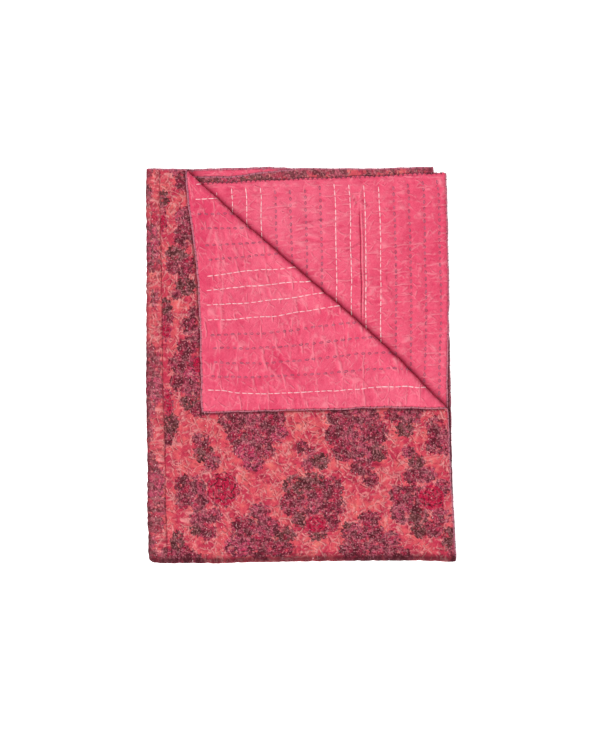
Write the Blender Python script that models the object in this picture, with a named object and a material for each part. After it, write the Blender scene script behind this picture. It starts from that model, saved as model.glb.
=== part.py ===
"""A kantha quilt folded in quarters, with one corner of its top layer turned back over the print.

The quilt is first laid out flat, as its maker sews it: two printed panels that meet at a seam, and a plain
backing cloth behind them. Every point is then carried through three folds: the top corner over the print,
the quilt in half at its side, and both halves in half again at the bottom.

Flat frame: u runs across the quilt from the side fold, v along it from the bottom fold, and w is the height
above the quilt's middle, towards the print. The signs of u and v tell the four layers of the packet apart.
All sizes are in metres. The finished packet rests on z = 0 with the z axis through its middle.
"""

import math
from collections import namedtuple

import bmesh
import bpy
import numpy as np

# The quilt's own make
CROWN = 0.0013  # half the quilt's thickness, midway between two rows of stitches
STITCH_DIP = 0.0004  # how far each face is drawn in along a row of stitches
CLOTH_GAP = 0.0003  # between print and backing, and across the seam
HEM = 0.0020  # width of the print's turned edge, which closes the quilt all round
HEM_HEIGHT = 0.0010  # half the quilt's thickness at that edge
ROW_PITCH = 0.0223  # from one row of stitches to the next
ROWS_FROM_OPEN_EDGE = {"main": (0.0315, 18), "side": (0.0130, 20)}  # first row's distance, number of rows
STRIP_ROW = 0.011  # the row in the narrow strip between side fold and seam
SEAM = 0.0255  # from the side fold to the seam of the two printed panels
SEAM_DRIFT = 0.008  # how much nearer the fold the seam lies at the top than at the bottom
SEAM_DRIFT_FADE = 0.25  # share of the width over which rows beside the seam drift with it

# The folds
LAYER_PITCH = 0.0034  # from the middle of one layer to the middle of the next
SIDE_RADIUS = LAYER_PITCH / 2
BOTTOM_RADIUS = LAYER_PITCH
FOLD_STEPS = 5

# The turned corner. Its bend is tight at the top edge and plump at the open side
CREASE_TOP = (0.0540, 0.5942)  # where the bend starts on the top edge, from the side and the bottom fold
CREASE_SIDE = (0.4552, 0.2245)  # where it starts on the open side edge
CORNER_RADIUS_TOP = 0.0020
CORNER_RADIUS_SIDE = 0.0042
CORNER_STEPS = 4
CORNER_SETTLE = 10.0  # the turned cloth comes down to the layer pitch over this many radii
SETTLE_STEPS = 3

# The packet's unevenness
FOLD_SWELL = 0.11  # the layers stand this share higher along the folds
FOLD_SWELL_REACH = 0.020
WAVE_SWELL = 0.035
WAVE_LENGTHS = (0.33, 0.41)
FOLD_LINE_REACH = 0.070  # how far in from a fold its line still shows in the rows
CORNER_PULL = 0.0042  # how far the folded corner is drawn in
CORNER_PULL_REACH = 0.007

# Where lines of points cross the layers, as shares of the way from the bottom fold to the top edge
LINES_FROM_FOLD = {"upper": (0.05, 0.2, 0.4, 0.6, 0.8), "lower": (0.05, 0.27, 0.5, 0.75)}

PACKET_MIDDLE = (0.23394, 0.29881)  # from the straight lines of the side and the bottom fold

FoldLine = namedtuple("FoldLine", "share side bottom")
Reach = namedtuple("Reach", "share top second third bottom")

# How far each folded edge is drawn in from its straight line, by the share of its length from their corner
FOLD_LINES = (
    FoldLine(0.00, side=0.0033, bottom=0.0002),
    FoldLine(0.07, side=0.0040, bottom=0.0003),
    FoldLine(0.15, side=0.0019, bottom=0.0007),
    FoldLine(0.24, side=0.0031, bottom=0.0000),
    FoldLine(0.33, side=0.0015, bottom=0.0016),
    FoldLine(0.45, side=0.0002, bottom=0.0025),
    FoldLine(0.60, side=0.0010, bottom=0.0036),
    FoldLine(0.80, side=0.0013, bottom=0.0042),
    FoldLine(0.93, side=0.0003, bottom=0.0042),
    FoldLine(1.00, side=0.0008, bottom=0.0027),
)

# Distance from the side fold's straight line to each layer's open side edge, by the share of the height
SIDE_REACH = (
    Reach(0.00, top=0.4662, second=0.4662, third=0.4673, bottom=0.4655),
    Reach(0.11, top=0.4629, second=0.4620, third=0.4640, bottom=0.4600),
    Reach(0.22, top=0.4587, second=0.4565, third=0.4607, bottom=0.4560),
    Reach(0.36, top=0.4556, second=0.4545, third=0.4595, bottom=0.4540),
    Reach(0.46, top=0.4520, second=0.4539, third=0.4585, bottom=0.4530),
    Reach(0.59, top=0.4450, second=0.4557, third=0.4566, bottom=0.4525),
    Reach(0.72, top=0.4400, second=0.4563, third=0.4500, bottom=0.4520),
    Reach(0.87, top=0.4345, second=0.4540, third=0.4420, bottom=0.4510),
    Reach(1.00, top=0.4293, second=0.4520, third=0.4325, bottom=0.4500),
)

# Distance from the bottom fold's straight line to each layer's top edge, by the share of the width
TOP_REACH = (
    Reach(0.00, top=0.5940, second=0.5940, third=0.5935, bottom=0.5935),
    Reach(0.08, top=0.5931, second=0.5820, third=0.5870, bottom=0.5932),
    Reach(0.17, top=0.5931, second=0.5730, third=0.5826, bottom=0.5943),
    Reach(0.30, top=0.5922, second=0.5750, third=0.5826, bottom=0.5955),
    Reach(0.41, top=0.5904, second=0.5782, third=0.5890, bottom=0.5974),
    Reach(0.54, top=0.5900, second=0.5803, third=0.5952, bottom=0.5940),
    Reach(0.76, top=0.5945, second=0.5841, third=0.5942, bottom=0.5905),
    Reach(0.92, top=0.5996, second=0.5874, third=0.5963, bottom=0.5890),
    Reach(1.00, top=0.6015, second=0.5890, third=0.5968, bottom=0.5880),
)
STANDARD_WIDTH, STANDARD_HEIGHT = 0.4550, 0.5930  # the lengths that turn a distance into a share

Finish = namedtuple("Finish", "color roughness metallic")
FINISHES = {
    "print_panel_main": Finish((0.50, 0.11, 0.12, 1.0), 0.85, 0.0),
    "print_panel_side": Finish((0.52, 0.14, 0.14, 1.0), 0.85, 0.0),
    "backing_cloth": Finish((0.82, 0.12, 0.21, 1.0), 0.85, 0.0),
}


def clear_scene():
    for thing in list(bpy.data.objects):
        bpy.data.objects.remove(thing, do_unlink=True)


def smooth_step(x):
    x = np.clip(x, 0.0, 1.0)
    return x * x * (3.0 - 2.0 * x)


# ---------------------------------------------------------------- the flat quilt


def reach(table, upper, main, share):
    """The reach at a share of the table's first column, in the layer that the two flags choose."""
    shares = [row.share for row in table]
    top, second, third, bottom = [
        np.interp(share, shares, [getattr(row, layer) for row in table]) for layer in Reach._fields[1:]
    ]
    upper_half = np.where(main, top, second)
    lower_half = np.where(main, bottom, third)
    return np.where(upper, upper_half, lower_half)


def flat_length(reached, radius, outside):
    """The flat length from a fold's middle to a point this far from the packet's outermost face there."""
    return reached - radius - outside + radius * math.pi / 2


def flat_width(reached):
    """The flat length for a distance from the side fold's line."""
    return flat_length(reached, SIDE_RADIUS, CROWN)


def flat_height(reached):
    """The flat length for a distance from the bottom fold's line."""
    return flat_length(reached, BOTTOM_RADIUS, SIDE_RADIUS + CROWN)


def flat_place(across, along):
    """u and v of a point that lies at these shares of the width and the height, each from -1 to 1."""
    upper, main = along > 0, across > 0
    width = flat_width(reach(SIDE_REACH, upper, main, np.abs(along)))
    height = flat_height(reach(TOP_REACH, upper, main, np.abs(across)))
    u = across * width
    seam_share = SEAM / STANDARD_WIDTH
    near_seam = np.where(
        across < seam_share,
        across / seam_share,
        1.0 - (across - seam_share) / SEAM_DRIFT_FADE,
    )
    u = u + SEAM_DRIFT * (0.5 - np.clip(along, 0.0, 1.0)) * np.clip(near_seam, 0.0, 1.0)
    return u, along * height


def row_shares(part):
    """The shares of the width at which the rows of stitches run, from the open edge inwards."""
    first, count = ROWS_FROM_OPEN_EDGE[part]
    return [1.0 - (first + number * ROW_PITCH) / STANDARD_WIDTH for number in range(count)]


def stitch_rows():
    """Every row of stitches as a signed share of the width, from the side panel's edge to the main one's."""
    strip = [STRIP_ROW / STANDARD_WIDTH]
    return sorted([-share for share in row_shares("side")] + row_shares("main") + strip)


ROWS = np.array(stitch_rows())
SEAM_SHARE = SEAM / STANDARD_WIDTH
CROWNS = (ROWS[1:] + ROWS[:-1]) / 2


def face_height(across):
    """Half the quilt's thickness: the crown, drawn in along each row of stitches."""
    to_row = np.abs(across[:, None] - ROWS[None, :]).min(axis=1) * STANDARD_WIDTH
    drawn = 0.5 + 0.5 * np.cos(np.clip(2.0 * to_row / ROW_PITCH, 0.0, 1.0) * math.pi)
    return CROWN - STITCH_DIP * drawn


def fold_shares(radius, length):
    """Shares of a half width or height at which the bend of a fold is divided."""
    half_bend = radius * math.pi / 2 / length
    return [half_bend * (2.0 * step / FOLD_STEPS - 1.0) for step in range(FOLD_STEPS + 1)]


def hem_shares(length):
    """Shares at the open edge: the outline, and the foot of the hem's turned edge."""
    return [1.0 - (HEM + CLOTH_GAP) / length, 1.0 - HEM / length, 1.0]


def column_shares(first, last, with_hem):
    """Shares of the width at which one cloth has a line of points, between two limits and with them."""
    width = STANDARD_WIDTH
    lines = list(ROWS) + list(CROWNS) + fold_shares(SIDE_RADIUS, width)
    lines = [line for line in lines if first + 0.002 < line < last - 0.002]
    ends = [first, last]
    if with_hem:
        ends += [share for share in hem_shares(width) if last == 1.0]
        ends += [-share for share in hem_shares(width) if first == -1.0]
    return np.array(sorted(set(lines + ends)))


def line_shares(inset, with_hem):
    """Shares of the height at which a cloth has a line of points, ending this far inside the outline."""
    height = STANDARD_HEIGHT
    bend = fold_shares(BOTTOM_RADIUS, height)
    end = 1.0 - inset / height
    upper = [bend[-1] + (end - bend[-1]) * share for share in LINES_FROM_FOLD["upper"]]
    lower = [bend[0] - (end + bend[0]) * share for share in LINES_FROM_FOLD["lower"]]
    ends = [end, -end]
    if with_hem:
        ends = hem_shares(height) + [-share for share in hem_shares(height)]
    return np.array(sorted(set(bend + upper + lower + ends)))


# ---------------------------------------------------------------- the folds


def crease_frame():
    """The crease in the flat frame: its start at the top edge, its direction, normal and length."""
    top_u, top_v = flat_width(CREASE_TOP[0]), flat_height(CREASE_TOP[1])
    side_u, side_v = flat_width(CREASE_SIDE[0]), flat_height(CREASE_SIDE[1])
    length = math.hypot(side_u - top_u, side_v - top_v)
    along = ((side_u - top_u) / length, (side_v - top_v) / length)
    return (top_u, top_v), along, (-along[1], along[0]), length


CREASE_POINT, CREASE_ALONG, CREASE_NORMAL, CREASE_LENGTH = crease_frame()


def corner_radius(run):
    """The radius of the corner's bend at a distance along the crease from the top edge."""
    return CORNER_RADIUS_TOP + (CORNER_RADIUS_SIDE - CORNER_RADIUS_TOP) * run / CREASE_LENGTH


def turn_corner(u, v, w):
    """Carries the corner beyond the crease up, over and back, so that it lies on the print face down."""
    from_u, from_v = u - CREASE_POINT[0], v - CREASE_POINT[1]
    beyond = from_u * CREASE_NORMAL[0] + from_v * CREASE_NORMAL[1]
    radius = corner_radius(np.clip(from_u * CREASE_ALONG[0] + from_v * CREASE_ALONG[1], 0.0, CREASE_LENGTH))
    angle = np.clip(beyond / radius, 0.0, math.pi)
    back = np.maximum(beyond - radius * math.pi, 0.0)
    settled = (2.0 * radius - LAYER_PITCH) * smooth_step(back / (CORNER_SETTLE * radius))
    outward = np.minimum(beyond, 0.0) + (radius - w) * np.sin(angle) - back
    height = radius - (radius - w) * np.cos(angle) - settled
    shift = outward - beyond
    return u + shift * CREASE_NORMAL[0], v + shift * CREASE_NORMAL[1], height


def from_fold_lines(x, y):
    """Distances from the straight lines of the side and the bottom fold, for a place in the fold frame."""
    return x + SIDE_RADIUS + CROWN, y + BOTTOM_RADIUS + SIDE_RADIUS + CROWN


def half_fold(run, w, radius):
    """Folds in half round a bend: how far a point lies from the bend's centre, and its height there."""
    angle = np.clip(run / radius, -math.pi / 2, math.pi / 2)
    beyond = np.maximum(np.abs(run) - radius * math.pi / 2, 0.0)
    return beyond - (radius + w) * np.cos(angle), (radius + w) * np.sin(angle)


def settle(x, y, z):
    """The packet's unevenness: full and uneven along its folds, drawn in at their corner, and wavy."""
    from_side, from_bottom = from_fold_lines(x, y)
    swell = FOLD_SWELL * np.maximum(
        np.exp(-((from_side / FOLD_SWELL_REACH) ** 2)),
        np.exp(-((from_bottom / FOLD_SWELL_REACH) ** 2)),
    )
    waves = np.sin(2 * math.pi * x / WAVE_LENGTHS[0] + 0.6) * np.sin(2 * math.pi * y / WAVE_LENGTHS[1] + 1.1)
    shares = [row.share for row in FOLD_LINES]
    side_in = np.interp(from_bottom / STANDARD_HEIGHT, shares, [row.side for row in FOLD_LINES])
    bottom_in = np.interp(from_side / STANDARD_WIDTH, shares, [row.bottom for row in FOLD_LINES])
    pull = CORNER_PULL * np.exp(-(from_side + from_bottom) / CORNER_PULL_REACH)
    return (
        x + pull + side_in * smooth_step(1.0 - from_side / FOLD_LINE_REACH),
        y + pull + bottom_in * smooth_step(1.0 - from_bottom / FOLD_LINE_REACH),
        z * (1.0 + swell + WAVE_SWELL * waves),
    )


def folded(u, v, w):
    """The place of a flat point in the finished packet."""
    u, v, w = turn_corner(u, v, w)
    x, w = half_fold(u, w, SIDE_RADIUS)
    y, z = half_fold(v, w, BOTTOM_RADIUS)
    x, y, z = settle(x, y, z + BOTTOM_RADIUS + SIDE_RADIUS + CROWN)
    from_side, from_bottom = from_fold_lines(x, y)
    return np.stack([from_side - PACKET_MIDDLE[0], from_bottom - PACKET_MIDDLE[1], z], axis=1)


# ---------------------------------------------------------------- the cloths


def print_faces(across, along):
    """Lower and upper face of the print: its turned hem reaches down past the backing's edge."""
    hem = in_hem(across, along)
    upper = np.where(hem, HEM_HEIGHT, face_height(across))
    upper = np.where(pressed(across, along) & ~hem, CROWN, upper)
    lower = np.where(hem, -HEM_HEIGHT, CLOTH_GAP / 2)
    return lower, upper


def backing_faces(across, along):
    """Lower and upper face of the backing, which ends inside the hem."""
    return -face_height(across), np.full(len(across), -CLOTH_GAP / 2)


def in_hem(across, along):
    """True for points on the turned edge."""
    width, height = STANDARD_WIDTH, STANDARD_HEIGHT
    inside = np.minimum((1.0 - np.abs(across)) * width, (1.0 - np.abs(along)) * height)
    return inside < HEM + CLOTH_GAP / 2


def pressed(across, along):
    """True on the packet's underside, which its own weight presses flat."""
    bend = SIDE_RADIUS * math.pi / 2 / STANDARD_WIDTH
    return (across > bend - 1e-6) & (along < -BOTTOM_RADIUS * math.pi / 2 / STANDARD_HEIGHT + 1e-6)


def flat_sheet(columns, lines):
    """One cloth laid flat as a bmesh, with each point's shares of width and height kept on it."""
    sheet = bmesh.new()
    share_across = sheet.verts.layers.float.new("across")
    share_along = sheet.verts.layers.float.new("along")
    grid = []
    for along in lines:
        u, v = flat_place(columns, np.full(len(columns), along))
        row = []
        for index, across in enumerate(columns):
            point = sheet.verts.new((u[index], v[index], 0.0))
            point[share_across] = across
            point[share_along] = along
            row.append(point)
        grid.append(row)
    for lower, upper in zip(grid, grid[1:]):
        for left in range(len(columns) - 1):
            sheet.faces.new((lower[left], lower[left + 1], upper[left + 1], upper[left]))
    return sheet


def cut_crease(sheet):
    """Divides the sheet along the corner's crease, so that the bend and the settled stretch are smooth."""
    turns = [math.pi * step / CORNER_STEPS for step in range(CORNER_STEPS + 1)]
    turns += [math.pi + CORNER_SETTLE * (step + 1) / SETTLE_STEPS for step in range(SETTLE_STEPS)]
    point, along, normal = np.array(CREASE_POINT), np.array(CREASE_ALONG), np.array(CREASE_NORMAL)
    for turn in turns:
        start, end = [
            point + run * along + turn * corner_radius(run) * normal for run in (0.0, CREASE_LENGTH)
        ]
        bmesh.ops.bisect_plane(
            sheet,
            geom=sheet.verts[:] + sheet.edges[:] + sheet.faces[:],
            dist=0.00002,
            plane_co=(*start, 0.0),
            plane_no=(start[1] - end[1], end[0] - start[0], 0.0),
        )


def thicken(sheet):
    """Closes the flat sheet into a slab whose lower face is at w = 0 and whose upper face is at w = 1."""
    rim = [edge for edge in sheet.edges if edge.is_boundary]
    lower = list(sheet.faces)
    made = bmesh.ops.duplicate(sheet, geom=sheet.verts[:] + sheet.edges[:] + sheet.faces[:])
    twin = made["vert_map"]
    for old in {vert for face in lower for vert in face.verts}:
        twin[old].co.z = 1.0
    for edge in rim:
        face = edge.link_faces[0]
        loop = next(loop for loop in face.loops if loop.edge == edge)
        start, end = loop.vert, loop.link_loop_next.vert
        sheet.faces.new((start, end, twin[end], twin[start]))
    bmesh.ops.reverse_faces(sheet, faces=lower)


def thin_hidden_face(sheet, hidden_w):
    """Leaves out the lines between rows where two cloths lie face to face, clear of fold and hem."""
    share_across = sheet.verts.layers.float["across"]
    share_along = sheet.verts.layers.float["along"]
    foot = hem_shares(STANDARD_HEIGHT)[0]

    def on_crown(edge):
        if any(vert.co.z != hidden_w or abs(vert[share_along]) > foot - 1e-6 for vert in edge.verts):
            return False
        share = edge.verts[0][share_across]
        straight = abs(edge.verts[1][share_across] - share) < 1e-6
        return straight and abs(share) > 2 * SEAM_SHARE and np.abs(CROWNS - share).min() < 1e-6

    lines = [edge for edge in sheet.edges if on_crown(edge)]
    bmesh.ops.dissolve_edges(sheet, edges=lines, use_verts=True, use_face_split=False)


def cloth(name, columns, lines, faces, hidden_w):
    """A finished cloth: laid flat, creased, thickened and folded."""
    sheet = flat_sheet(columns, lines)
    cut_crease(sheet)
    thicken(sheet)
    thin_hidden_face(sheet, hidden_w)
    share_across = sheet.verts.layers.float["across"]
    share_along = sheet.verts.layers.float["along"]
    across = np.array([vert[share_across] for vert in sheet.verts])
    along = np.array([vert[share_along] for vert in sheet.verts])
    flat = np.array([vert.co for vert in sheet.verts])
    lower, upper = faces(across, along)
    places = folded(flat[:, 0], flat[:, 1], np.where(flat[:, 2] > 0.5, upper, lower))
    for vert, place in zip(sheet.verts, places):
        vert.co = place
    mesh = bpy.data.meshes.new(name)
    sheet.to_mesh(mesh)
    sheet.free()
    made = bpy.data.objects.new(name, mesh)
    bpy.context.scene.collection.objects.link(made)
    made.data.materials.append(finish(name))
    mesh.shade_smooth()
    mesh.set_sharp_from_angle(angle=math.radians(40))
    return made


def finish(name):
    """The plain finish of one cloth."""
    look = FINISHES[name]
    material = bpy.data.materials.new(name)
    material.use_nodes = True
    shader = material.node_tree.nodes["Principled BSDF"]
    shader.inputs["Base Color"].default_value = look.color
    shader.inputs["Roughness"].default_value = look.roughness
    shader.inputs["Metallic"].default_value = look.metallic
    return material


def build():
    clear_scene()
    half_gap = CLOTH_GAP / 2 / STANDARD_WIDTH
    inset = HEM + 2 * CLOTH_GAP
    edge = 1.0 - inset / STANDARD_WIDTH
    hemmed = line_shares(0.0, with_hem=True)
    main_columns = column_shares(SEAM_SHARE + half_gap, 1.0, with_hem=True)
    side_columns = column_shares(-1.0, SEAM_SHARE - half_gap, with_hem=True)
    cloth("print_panel_main", main_columns, hemmed, print_faces, hidden_w=0.0)
    cloth("print_panel_side", side_columns, hemmed, print_faces, hidden_w=0.0)
    backing_columns = column_shares(-edge, edge, with_hem=False)
    cloth("backing_cloth", backing_columns, line_shares(inset, with_hem=False), backing_faces, hidden_w=1.0)


build()
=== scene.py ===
"""Looks of a kantha quilt folded in quarters, with one corner of its top layer turned back.

Every piece is first worked out on the flat quilt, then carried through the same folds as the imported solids.
Cloth frame: a runs across the quilt from the side fold, b along it from the bottom fold, and w is the height
above the quilt's middle, towards the print. The signs of a and b tell the four layers apart: the top layer
has both above zero, the second has a below zero, the third both below, and the bottom layer b below zero.
Sizes are in metres, but in millimetres for the print and where a name says so.
"""

import logging
import math
from dataclasses import dataclass, field, replace
from enum import Enum
from typing import Dict, List, Optional, Sequence, Tuple, Union

import bpy
import numpy as np
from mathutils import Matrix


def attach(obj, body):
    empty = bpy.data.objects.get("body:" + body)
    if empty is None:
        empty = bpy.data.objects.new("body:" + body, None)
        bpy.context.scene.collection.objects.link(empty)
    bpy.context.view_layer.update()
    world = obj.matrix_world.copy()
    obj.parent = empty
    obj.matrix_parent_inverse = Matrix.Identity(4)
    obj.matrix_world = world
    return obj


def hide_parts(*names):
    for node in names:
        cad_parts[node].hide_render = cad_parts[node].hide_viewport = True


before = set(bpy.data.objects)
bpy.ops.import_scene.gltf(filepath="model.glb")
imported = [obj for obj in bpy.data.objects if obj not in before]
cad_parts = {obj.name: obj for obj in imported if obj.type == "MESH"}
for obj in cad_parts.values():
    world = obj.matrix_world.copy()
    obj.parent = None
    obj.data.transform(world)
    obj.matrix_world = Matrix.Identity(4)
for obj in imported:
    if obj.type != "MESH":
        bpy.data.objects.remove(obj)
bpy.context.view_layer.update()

Array = np.ndarray
Color = Tuple[float, float, float]
Stretch = Tuple[float, float, float]
Pair = Tuple[float, float]
log = logging.getLogger("quilt")


class Face(Enum):
    """The two faces of the quilt, with the sign of their height."""

    PRINT = 1.0
    BACK = -1.0


class Panel(Enum):
    """The two printed panels, which meet at the seam."""

    MAIN = "print_panel_main"
    SIDE = "print_panel_side"


class Yarn(Enum):
    """The two colours of sewing thread."""

    WHITE = "white"
    GREY = "grey"


def smooth_step(x: Array) -> Array:
    """x*x*(3 - 2x), held at 0 below 0 and at 1 above 1."""
    x = np.clip(x, 0.0, 1.0)
    return x * x * (3.0 - 2.0 * x)


def bell(x: Array) -> Array:
    """exp(-x*x)."""
    return np.exp(-(x**2))


def spaced(*stretches: Stretch) -> Array:
    """Places along a line, evenly spaced within each stretch.

    Args:
        stretches: start, end and largest spacing of each stretch, in order.

    Returns:
        The places, each one once.
    """
    runs = [np.linspace(low, high, int(math.ceil((high - low) / gap)) + 1) for low, high, gap in stretches]
    return np.unique(np.round(np.concatenate(runs), 7))


def in_order(*runs: Array) -> Array:
    """The places of several runs in order, each once."""
    return np.unique(np.concatenate(runs))


@dataclass(frozen=True)
class Noise:
    """Smooth noise on a lattice whose corners have directions from a hash of their numbers."""

    seed: int = 1

    def slope(self, i: Array, j: Array, x: Array, y: Array) -> Array:
        """What corner (i, j) gives at the offset (x, y) from it: its direction times the offset."""
        mixed = i.astype(np.int64) * 374761393 + j.astype(np.int64) * 668265263 + self.seed * 97463477
        mixed = mixed & 0xFFFFFFFF
        mixed = ((mixed ^ (mixed >> 13)) * 1274126177) & 0xFFFFFFFF
        angle = (mixed ^ (mixed >> 16)) * (2.0 * math.pi / 2**32)
        return np.cos(angle) * x + np.sin(angle) * y

    def at(self, x: Array, y: Array) -> Array:
        """Noise of about -1 to 1: the four corners' slopes, blended with a quintic step."""
        x, y = np.broadcast_arrays(np.asarray(x, float), np.asarray(y, float))
        i, j = np.floor(x), np.floor(y)
        s, t = x - i, y - j
        across, along = [f * f * f * (f * (f * 6.0 - 15.0) + 10.0) for f in (s, t)]
        low = self.slope(i, j, s, t) * (1 - across) + self.slope(i + 1, j, s - 1, t) * across
        high = self.slope(i, j + 1, s, t - 1) * (1 - across) + self.slope(i + 1, j + 1, s - 1, t - 1) * across
        return 1.5 * (low * (1 - along) + high * along)

    def ridged(self, x: Array, y: Array) -> Array:
        """Thin wandering ridges from 0 to 1: (1 - |noise| * 1.6) squared."""
        return np.clip(1.0 - 1.6 * np.abs(self.at(x, y)), 0.0, 1.0) ** 2


# How far each folded edge is drawn in: share of its length from the corner, side fold, bottom fold
FOLD_LINES = (
    (0.00, 0.0033, 0.0002),
    (0.07, 0.0040, 0.0003),
    (0.15, 0.0019, 0.0007),
    (0.24, 0.0031, 0.0000),
    (0.33, 0.0015, 0.0016),
    (0.45, 0.0002, 0.0025),
    (0.60, 0.0010, 0.0036),
    (0.80, 0.0013, 0.0042),
    (0.93, 0.0003, 0.0042),
    (1.00, 0.0008, 0.0027),
)

# Distance from the side fold to each layer's open side: share of the height, top, second, third, bottom layer
SIDE_REACH = (
    (0.00, 0.4662, 0.4662, 0.4673, 0.4655),
    (0.11, 0.4629, 0.4620, 0.4640, 0.4600),
    (0.22, 0.4587, 0.4565, 0.4607, 0.4560),
    (0.36, 0.4556, 0.4545, 0.4595, 0.4540),
    (0.46, 0.4520, 0.4539, 0.4585, 0.4530),
    (0.59, 0.4450, 0.4557, 0.4566, 0.4525),
    (0.72, 0.4400, 0.4563, 0.4500, 0.4520),
    (0.87, 0.4345, 0.4540, 0.4420, 0.4510),
    (1.00, 0.4293, 0.4520, 0.4325, 0.4500),
)

# Distance from the bottom fold to each layer's top edge: share of the width, top, second, third, bottom layer
TOP_REACH = (
    (0.00, 0.5940, 0.5940, 0.5935, 0.5935),
    (0.08, 0.5931, 0.5820, 0.5870, 0.5932),
    (0.17, 0.5931, 0.5730, 0.5826, 0.5943),
    (0.30, 0.5922, 0.5750, 0.5826, 0.5955),
    (0.41, 0.5904, 0.5782, 0.5890, 0.5974),
    (0.54, 0.5900, 0.5803, 0.5952, 0.5940),
    (0.76, 0.5945, 0.5841, 0.5942, 0.5905),
    (0.92, 0.5996, 0.5874, 0.5963, 0.5890),
    (1.00, 0.6015, 0.5890, 0.5968, 0.5880),
)

# How far the corner's fold bows out from its straight crease: share of its length from the top, distance
CORNER_BOW = (
    (0.00, 0.0000), (0.08, -0.0012), (0.22, -0.0012), (0.35, 0.0010), (0.48, 0.0028),
    (0.58, 0.0046), (0.68, 0.0055), (0.79, 0.0052), (0.86, 0.0030), (0.93, 0.0002), (1.00, 0.0000),
)


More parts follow.
